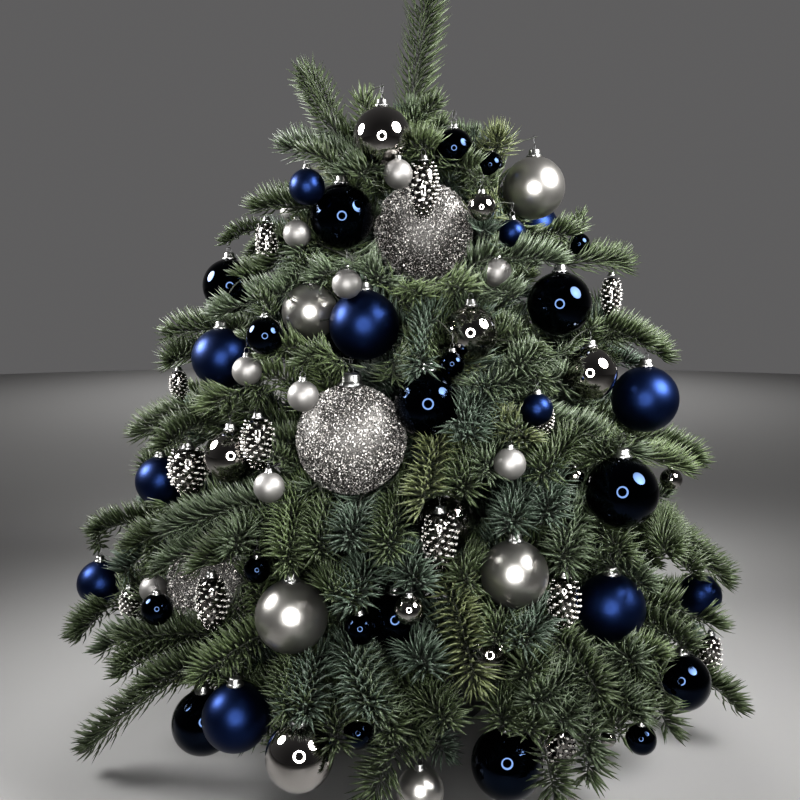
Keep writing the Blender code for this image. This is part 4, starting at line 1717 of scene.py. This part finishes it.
# Stand
def turned(profile, steps):
    """A solid of revolution about Z."""
    bm = bmesh.new()
    corners = [bm.verts.new((radius, 0, height)) for radius, height in profile]
    edges = [bm.edges.new(pair) for pair in zip(corners, corners[1:])]
    bmesh.ops.spin(
        bm, geom=corners + edges, cent=(0, 0, 0), axis=(0, 0, 1), angle=2 * math.pi,
        steps=steps, use_merge=True,
    )
    bmesh.ops.remove_doubles(bm, verts=bm.verts, dist=1e-6)
    return bm


def arc(centre_r, centre_z, radius, start, end, steps):
    """Points of a profile along an arc, its angles in degrees from +R."""
    angles = [math.radians(blend(start, end, i / steps)) for i in range(steps + 1)]
    return [(centre_r + radius * math.cos(a), centre_z + radius * math.sin(a)) for a in angles]


# Ball shapes
def ball_template(steps, rings):
    """A blown ball of unit radius, drawn up into a short neck under its cap."""
    shoulder = arc(0, 0, 1.0, -90 + 180 / rings, SHOULDER_END, rings)
    return template_of(turned([(0.0, -1.0), *shoulder, *NECK_PROFILE], steps))


def cap_template():
    """A crimped cap for a unit ball's neck, with a flared and scalloped skirt."""
    bm = turned(CAP_PROFILE, CAP_STEPS)
    for vert in bm.verts:
        reach = math.hypot(vert.co.x, vert.co.y)
        fold = math.cos(math.atan2(vert.co.y, vert.co.x) * CAP_FOLDS)
        if reach > FOLDED_FROM:
            vert.co.x *= 1 + FOLD_DEPTH * fold
            vert.co.y *= 1 + FOLD_DEPTH * fold
        if reach > SCALLOPED_FROM:
            vert.co.z += SCALLOP_DEPTH * fold
    return template_of(bm)


def cone_template():
    """A small blown pine cone of unit height, hanging from its top."""
    shares = [i / CONE_RINGS for i in range(1, CONE_RINGS)]
    body = [(cone_body_radius(share), cone_height(share)) for share in shares]
    return template_of(turned([(0.0, CONE_FOOT), *body, *CONE_NECK_PROFILE], CONE_STEPS))


def cone_body_radius(share):
    """The cone's radius at a share of its body's height: a narrow foot, and widest below the middle."""
    return CONE_GIRTH * math.sin(math.pi * (0.05 + 0.74 * share)) ** 0.65


def cone_height(share):
    """The height on a unit cone at a share of its body's height."""
    return share * CONE_BODY_HEIGHT + CONE_FOOT


def cone_scales():
    """Places of the scales on a unit cone along its spirals, and of their white tips, partly frost and
    partly painted highlights.
    """
    scales, tips = [], []
    for number in range(SCALE_COUNT):
        share = (number + 0.5) / SCALE_COUNT
        turn = Matrix.Rotation(number * math.radians(FINE_GOLDEN_ANGLE), 4, "Z")
        radius, height = cone_body_radius(share), cone_height(share)
        size = SCALE_SIZE * (0.60 + 0.50 * math.sin(math.pi * share))
        tilt = Matrix.Rotation(SCALE_TILT, 4, "Y") @ Matrix.Diagonal((size, size, size, 1.0))
        scales.append(turn @ Matrix.Translation((radius * 0.99, 0, height)) @ tilt)
        if share > FROST_AND_HIGHLIGHTS_FROM:
            place = Matrix.Translation((radius + size * SCALE_SHAPE[0], 0, height + size * 0.10))
            small = Matrix.Diagonal((FROST_AND_HIGHLIGHT_SIZE, FROST_AND_HIGHLIGHT_SIZE, FROST_AND_HIGHLIGHT_SIZE, 1.0))
            tips.append(turn @ place @ tilt @ small)
    return scales, tips


def knob_template(shape):
    """A small rounded knob, for the cone's scales and their white tips, partly frost and partly painted
    highlights.
    """
    bm = bmesh.new()
    bmesh.ops.create_icosphere(bm, subdivisions=1, radius=1.0)
    bmesh.ops.scale(bm, vec=shape, verts=bm.verts)
    return template_of(bm)


def ball_places(items):
    """Places for copies of a unit ball, one for each decoration."""
    return [Matrix.Translation(item.centre) @ Matrix.Scale(item.radius, 4) for item in items]


def flake_places(item, chance):
    """Flakes set at all angles over a ball."""
    places = []
    for number in range(FLAKES_PER_BALL):
        height = 1 - 2 * (number + 0.5) / FLAKES_PER_BALL
        ring = math.sqrt(1 - height * height)
        turn = number * math.radians(FINE_GOLDEN_ANGLE) + chance.uniform(*FLAKE_TURN_JITTER)
        out = Vector((ring * math.cos(turn), ring * math.sin(turn), height))
        tilt = Vector([chance.gauss(0, 1) for _ in range(3)])
        facing = (out + tilt * FLAKE_TILT).normalized()
        turned_to = UP.rotation_difference(facing).to_matrix().to_4x4()
        spin = Matrix.Rotation(chance.uniform(0, math.pi), 4, "Z")
        scale = FLAKE_RADIUS * chance.uniform(*FLAKE_SIZE_JITTER)
        centre = item.centre + out * (item.radius + chance.uniform(*FLAKE_PLACE_JITTER))
        places.append(Matrix.Translation(centre) @ turned_to @ spin @ Matrix.Scale(scale, 4))
    return places


def flake_template():
    """A thin three-sided flake of unit radius, slightly raised in the middle."""
    bm = bmesh.new()
    bmesh.ops.create_cone(bm, cap_ends=True, segments=3, radius1=1.0, radius2=0.0, depth=FLAKE_HEIGHT)
    return template_of(bm)


# Threads
def nearest_hold(top, points):
    """The twig point above a decoration that it hangs from."""
    away = points - np.array(top)
    flat = np.hypot(away[:, 0], away[:, 1])
    rise = away[:, 2]
    cost = np.where(rise > HOLD_ABOVE, np.hypot(flat * HOLD_ASIDE_COST, rise), NO_HOLD_COST)
    return Vector(points[int(np.argmin(cost))])


def cap_top(item):
    """Where the wire loop stands on a decoration's cap."""
    if item.kind == "cone":
        return item.centre + UP * (item.height * 0.5 + CONE_CAP_RISE)
    return item.centre + UP * (item.radius * CAP_TOP)


def wire_loop(top, radius, facing):
    """Points along the loop of wire that stands on a cap."""
    out = Vector((math.cos(facing), math.sin(facing), 0))
    return [
        top
        + out * (radius * LOOP_WIDTH_SHARE * math.cos(turn))
        + UP * (radius * (LOOP_RISE_SHARE + math.sin(turn)))
        for turn in LOOP_TURNS
    ]


def thread_line(start, hold):
    """A thread from a wire loop, round the twig above it and back."""
    across = (hold - start).cross(UP)
    across = across.normalized() if across.length > 1e-5 else RIGHT
    aside = across * THREAD_WIDTH
    middle = start.lerp(hold, 0.5)
    return [
        start, middle + aside * THREAD_NARROWING, hold + aside, hold + UP * THREAD_OVER,
        hold - aside, middle - aside * THREAD_NARROWING, start,
    ]


# Operators
class FIR_OT_bark(bpy.types.Operator):
    """Replaces the trunk and boughs with limbs that have the bark's relief"""

    bl_idname = "fir.bark"
    bl_label = "Trunk and boughs"

    def execute(self, context):
        settings = context.scene.dressed_fir.bark
        # The bark's colour is partly painted shade
        finish = bark_finish("bark", settings.colour, scale=90.0)
        seat(trunk_piece(settings, finish), "bark", "trunk")
        for whorl in WHORLS:
            if whorl.bough_radius:
                nodes = [f"bough_{whorl.title}_{number + 1}" for number in range(whorl.count)]
                seat(boughs_piece(whorl.title, settings, finish), "bark", *nodes)
        return {"FINISHED"}


class FIR_OT_twigs(bpy.types.Operator):
    """Makes the twigs that carry the needles"""

    bl_idname = "fir.twigs"
    bl_label = "Twigs"

    def execute(self, context):
        finish = bark_finish("twigs", context.scene.dressed_fir.foliage.twig, scale=300.0)
        groups = {}
        for shoot in crown_shoots():
            groups.setdefault(shoot.node.split("_")[1], []).append(shoot)
        for title, shoots in groups.items():
            lines = [shoot.points for shoot in shoots]
            radii = [
                np.linspace(shoot.radius, self.tip_radius(shoot), len(shoot.points)) for shoot in shoots
            ]
            seat(tubes_object(f"twigs_{title}", lines, radii, finish), "bark")
        return {"FINISHED"}

    @staticmethod
    def tip_radius(shoot):
        """A twig's radius at its tip."""
        is_long = len(shoot.points) > LONG_TWIG_POINTS
        return shoot.radius * LONG_TWIG_TIP_SHARE if is_long else SHORT_TWIG_TIP_RADIUS


class FIR_OT_needles(bpy.types.Operator):
    """Grows the needles of every shoot"""

    bl_idname = "fir.needles"
    bl_label = "Needles"

    def execute(self, context):
        settings = context.scene.dressed_fir.foliage
        # The dark tint's finish is painted shade for the inner shoots
        finishes = [needle_finish(tint, getattr(settings, tint)) for tint in TINTS]
        groups = {}
        for shoot in crown_shoots():
            groups.setdefault(shoot.node, []).append(shoot)
        for node, shoots in groups.items():
            piece = needles_object(node.replace("foliage", "needles"), shoots, settings, finishes)
            seat(piece, "foliage", node)
        return {"FINISHED"}


class FIR_OT_balls(bpy.types.Operator):
    """Hangs the plain balls, each kind in its own finish"""

    bl_idname = "fir.balls"
    bl_label = "Balls"

    def execute(self, context):
        colours = context.scene.dressed_fir.decorations
        large, small = ball_template(*LARGE_BALL), ball_template(*SMALL_BALL)
        navy = lacquer_finish("navy lacquer", colours.navy)
        blue = satin_finish("satin blue", colours.blue, roughness=0.39)
        silver = satin_finish("satin silver", colours.silver, roughness=0.295, metallic=0.88)
        pearl = satin_finish("pearl", colours.pearl, roughness=0.50, metallic=0.62)
        mirror = mirror_finish("smoky mirror", colours.mirror)
        for name, kind, template, finish, slot in (
            ("navy_balls", "navy", large, navy, "navy_glass"),
            ("small_navy_balls", "small_navy", small, navy, "navy_glass"),
            ("blue_balls", "blue", large, blue, "matte_blue"),
            ("small_blue_balls", "small_blue", small, blue, "matte_blue"),
            ("silver_balls", "silver", large, silver, "matte_silver"),
            ("pearl_balls", "pearl", small, pearl, "matte_silver"),
            ("mirror_balls", "mirror", large, mirror, "mirror_silver"),
            ("small_mirror_balls", "small_mirror", small, mirror, "mirror_silver"),
        ):
            seat(join_copies(name, template, ball_places(of_kind(kind)), finish), slot)
        return {"FINISHED"}


class FIR_OT_glitter(bpy.types.Operator):
    """Hangs the large balls that are covered with glitter flakes"""

    bl_idname = "fir.glitter"
    bl_label = "Glitter balls"

    def execute(self, context):
        colour = context.scene.dressed_fir.decorations.glitter
        balls = of_kind("glitter")
        core = satin_finish("glitter ground", shade(colour, 0.12), roughness=0.60)
        ground = ball_template(*LARGE_BALL)
        seat(join_copies("glitter_grounds", ground, ball_places(balls), core), "glitter")
        chance = random.Random(FLAKE_SEED)
        flakes = flake_finish("glitter flakes", colour)
        places = [place for ball in balls for place in flake_places(ball, chance)]
        seat(join_copies("glitter_flakes", flake_template(), places, flakes, smooth=False), "glitter")
        return {"FINISHED"}


class FIR_OT_cones(bpy.types.Operator):
    """Hangs the silvered glass pine cones"""

    bl_idname = "fir.cones"
    bl_label = "Glass cones"

    def execute(self, context):
        colour = context.scene.dressed_fir.decorations.glitter
        body = mirror_finish("silvered glass", shade(colour, 0.28), roughness=0.08)
        # White tips on the scales: partly frost, partly painted highlights of the lamps
        frost_and_highlights = frost_and_highlight_finish("frosted tips", colour)
        bodies = []
        for cone in of_kind("cone"):
            width = cone.radius / CONE_WIDEST
            size = Matrix.Diagonal((width, width, cone.height, 1.0))
            bodies.append(Matrix.Translation(cone.centre) @ size)
        seat(join_copies("cone_bodies", cone_template(), bodies, body), "mirror_silver")
        scales, tips = cone_scales()
        places = [place @ scale for place in bodies for scale in scales]
        seat(join_copies("cone_scales", knob_template(SCALE_SHAPE), places, body), "mirror_silver")
        places = [place @ tip for place in bodies for tip in tips]
        seat(join_copies("cone_frost", knob_template(FROST_AND_HIGHLIGHT_SHAPE), places, frost_and_highlights), "glitter")
        return {"FINISHED"}


class FIR_OT_caps(bpy.types.Operator):
    """Puts a crimped cap, a wire loop and a thread on every decoration"""

    bl_idname = "fir.caps"
    bl_label = "Caps, loops and threads"

    def execute(self, context):
        metal = mirror_finish("plated caps", CAP_COLOUR, roughness=0.30)
        wire_metal = satin_finish("loop wire", WIRE_COLOUR, roughness=0.40)
        silver_thread = satin_finish("silver thread", WIRE_COLOUR, roughness=0.5)
        places, loops, threads = [], [], []
        holds = np.concatenate([shoot.points for shoot in crown_shoots()])
        for item in decorations():
            size = item.radius * CONE_CAP_SIZE if item.kind == "cone" else item.radius
            size = max(size, LEAST_CAP_SIZE)
            top = cap_top(item)
            places.append(Matrix.Translation(top - UP * (size * CAP_TOP)) @ Matrix.Scale(size, 4))
            radius = min(LOOP_RADIUS_MOST, size * LOOP_RADIUS_SHARE)
            loops.append(wire_loop(top, radius, item.centre.x * LOOP_FACING))
            start = top + UP * radius * THREAD_FROM_SHARE
            threads.append(thread_line(start, nearest_hold(top, holds)))
        seat(join_copies("caps", cap_template(), places, metal), "silver_caps")
        for name, lines, radius, finish, slot in (
            ("cap_loops", loops, WIRE_RADIUS, wire_metal, "silver_caps"),
            ("threads", threads, THREAD_RADIUS, silver_thread, "thread"),
        ):
            radii = [np.full(len(line), radius) for line in lines]
            seat(tubes_object(name, lines, radii, finish), slot)
        return {"FINISHED"}


class FIR_OT_stand(bpy.types.Operator):
    """Gives the stand its rounded foot, and finishes its collar and screws"""

    bl_idname = "fir.stand"
    bl_label = "Stand"

    def execute(self, context):
        black = paint_finish("black paint", PAINT_COLOUR, roughness=0.42)
        _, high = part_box("stand_base")
        rim, top = high.x, high.z
        inner, edge = rim - FOOT_INSET - FOOT_EDGE_RADIUS, FOOT_EDGE_RADIUS
        lower_edge = arc(inner, edge, edge, -90, -4, 6)
        upper_edge = arc(rim - TOP_EDGE_RADIUS, top - TOP_EDGE_RADIUS, TOP_EDGE_RADIUS, 0, 90, 5)
        profile = [(0, 0), (inner, 0), *lower_edge, *upper_edge, (FOOT_TOP_INNER_RADIUS, top), (0, top)]
        base = bmesh_object(turned(profile, FOOT_STEPS), "stand_foot", black)
        seat(base, "stand", "stand_base")
        steel = mirror_finish("zinc plate", ZINC_COLOUR, roughness=0.22)
        for name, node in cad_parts.items():
            if name == "stand_collar" or name.startswith("stand_screw"):
                node.data.materials.clear()
                node.data.materials.append(black if name == "stand_collar" else steel)
        return {"FINISHED"}


def disk_light(title, size, power, spread, place):
    """A round area light, which shines down until it is turned."""
    light = bpy.data.lights.new(title, "AREA")
    light.shape = "DISK"
    light.size = size
    light.energy = power
    light.spread = math.radians(spread)
    made = linked(title, light)
    made.location = place
    return made


def soft_box(title, azimuth, elevation, distance, size, power, glare=0.0):
    """A round soft box that looks at the middle of the crown, and its brighter image in glossy things."""
    rise = math.radians(elevation)
    way = outward(azimuth) * math.cos(rise) + UP * math.sin(rise)
    turned_to = way.to_track_quat("Z", "Y").to_euler()
    box = disk_light(title, size, power, BOX_SPREAD, CROWN_MIDDLE + way * distance)
    box.visible_glossy = False
    image_place = CROWN_MIDDLE + way * (distance - GLARE_BEFORE)
    image = disk_light(title + " glare", size, power * glare, BOX_SPREAD, image_place)
    image.visible_diffuse = False
    for light in (box, image):
        light.rotation_euler = turned_to


class FIR_OT_stage(bpy.types.Operator):
    """Sets a pale floor, two soft boxes, a ring light and the camera"""

    bl_idname = "fir.stage"
    bl_label = "Stage"

    def execute(self, context):
        settings = context.scene.dressed_fir.stage
        floor_finish, _, shader = new_finish("floor", settings.floor, roughness=0.7)
        shader.inputs["Specular IOR Level"].default_value = 0.2
        bm = bmesh.new()
        bmesh.ops.create_circle(bm, cap_ends=True, segments=96, radius=FLOOR_RADIUS)
        bmesh.ops.translate(bm, vec=(0, 0, -FLOOR_DROP), verts=bm.verts)
        bmesh_object(bm, "floor", floor_finish)
        self.lights(settings)
        world = bpy.data.worlds.new("surroundings")
        world.use_nodes = True
        self.surroundings(world.node_tree, settings)
        context.scene.world = world
        self.camera(context.scene)
        context.scene.view_settings.view_transform = "Standard"
        context.scene.view_settings.look = "Medium High Contrast"
        return {"FINISHED"}

    def lights(self, settings):
        """Two soft boxes, fill from behind and from the front, the floor's light and the ring light."""
        soft_box("left box", azimuth=-84, elevation=27, distance=1.35, size=0.62,
                 power=settings.left_power, glare=GLARE)
        soft_box("right box", azimuth=56, elevation=32, distance=1.35, size=0.75,
                 power=settings.right_power, glare=GLARE)
        soft_box("back box", azimuth=180, elevation=42, distance=1.9, size=1.2, power=settings.back_power)
        # This one stands behind the tree, and is so narrow that it misses it
        floor_light = disk_light(
            "floor light", FLOOR_LIGHT_SIZE, settings.floor_power, FLOOR_LIGHT_SPREAD, FLOOR_LIGHT_PLACE
        )
        floor_light.visible_glossy = False
        self.ring_light(settings.ring_strength)
        soft_box("front fill", azimuth=0, elevation=4, distance=1.2, size=0.5, power=settings.front_power)

    @staticmethod
    def camera(scene):
        """The photo's camera."""
        camera = bpy.data.cameras.new("photo camera")
        camera.sensor_width = SENSOR_WIDTH
        camera.lens = PHOTO_FOCAL * SENSOR_WIDTH / PHOTO_SIZE
        made = linked("photo camera", camera)
        made.location = CAMERA_PLACE
        made.rotation_euler = (math.radians(90) - CAMERA_PITCH, 0, 0)
        scene.camera = made

    @staticmethod
    def surroundings(tree, settings):
        """Plain surroundings, lighter behind the tree than in front of it."""
        place = tree.nodes.new("ShaderNodeTexCoord")
        parts = tree.nodes.new("ShaderNodeSeparateXYZ")
        tree.links.new(place.outputs["Generated"], parts.inputs["Vector"])
        depth = add_range(tree, parts.outputs["Y"], 0.0, 1.0)
        depth.inputs["From Min"].default_value = -1.0
        stops = ((SURROUNDINGS_FROM, settings.world), (SURROUNDINGS_TO, settings.backdrop))
        ramp = add_ramp(tree, depth.outputs["Result"], stops)
        tree.links.new(ramp.outputs["Color"], tree.nodes["Background"].inputs["Color"])

    @staticmethod
    def ring_light(strength):
        """The ring light round the camera, which shows as a small ring in every glossy ball."""
        glow = bpy.data.materials.new("ring glow")
        glow.use_nodes = True
        tree = glow.node_tree
        tree.nodes.clear()
        output = tree.nodes.new("ShaderNodeOutputMaterial")
        emission = tree.nodes.new("ShaderNodeEmission")
        emission.inputs["Strength"].default_value = strength
        tree.links.new(emission.outputs["Emission"], output.inputs["Surface"])
        bm = bmesh.new()
        for radius in RING_LIGHT_RADII:
            bmesh.ops.create_circle(bm, segments=RING_LIGHT_STEPS, radius=radius)
        bmesh.ops.bridge_loops(bm, edges=bm.edges)
        place = Matrix.Translation(CAMERA_PLACE - FORWARD * RING_LIGHT_BEHIND)
        turned_to = UP.rotation_difference(FORWARD).to_matrix().to_4x4()
        bmesh.ops.transform(bm, matrix=place @ turned_to, verts=bm.verts)
        ring = bmesh_object(bm, "ring_light", glow)
        ring.visible_camera = False
        ring.visible_diffuse = False


OPERATORS = (
    FIR_OT_bark, FIR_OT_twigs, FIR_OT_needles, FIR_OT_balls, FIR_OT_glitter, FIR_OT_cones,
    FIR_OT_caps, FIR_OT_stand, FIR_OT_stage,
)


class FIR_PT_panel(bpy.types.Panel):
    """Lists the tree's pieces"""

    bl_idname = "FIR_PT_panel"
    bl_label = "Dressed fir"
    bl_space_type = "VIEW_3D"
    bl_region_type = "UI"
    bl_category = "Fir"

    def draw(self, context):
        for operator in OPERATORS:
            self.layout.operator(operator.bl_idname)


CLASSES = (
    FoliageSettings, BarkSettings, DecorationSettings, StageSettings, FirSettings,
    *OPERATORS, FIR_PT_panel,
)


def register():
    """Registers the classes and the settings."""
    for item in CLASSES:
        bpy.utils.register_class(item)
    bpy.types.Scene.dressed_fir = bpy.props.PointerProperty(type=FirSettings)


def unregister():
    """Takes the settings and the classes out again."""
    del bpy.types.Scene.dressed_fir
    for item in reversed(CLASSES):
        bpy.utils.unregister_class(item)


def main():
    """Makes every piece and the stage."""
    register()
    bpy.ops.fir.bark()
    bpy.ops.fir.twigs()
    bpy.ops.fir.needles()
    bpy.ops.fir.balls()
    bpy.ops.fir.glitter()
    bpy.ops.fir.cones()
    bpy.ops.fir.caps()
    bpy.ops.fir.stand()
    bpy.ops.fir.stage()


if __name__ == "__main__":
    main()
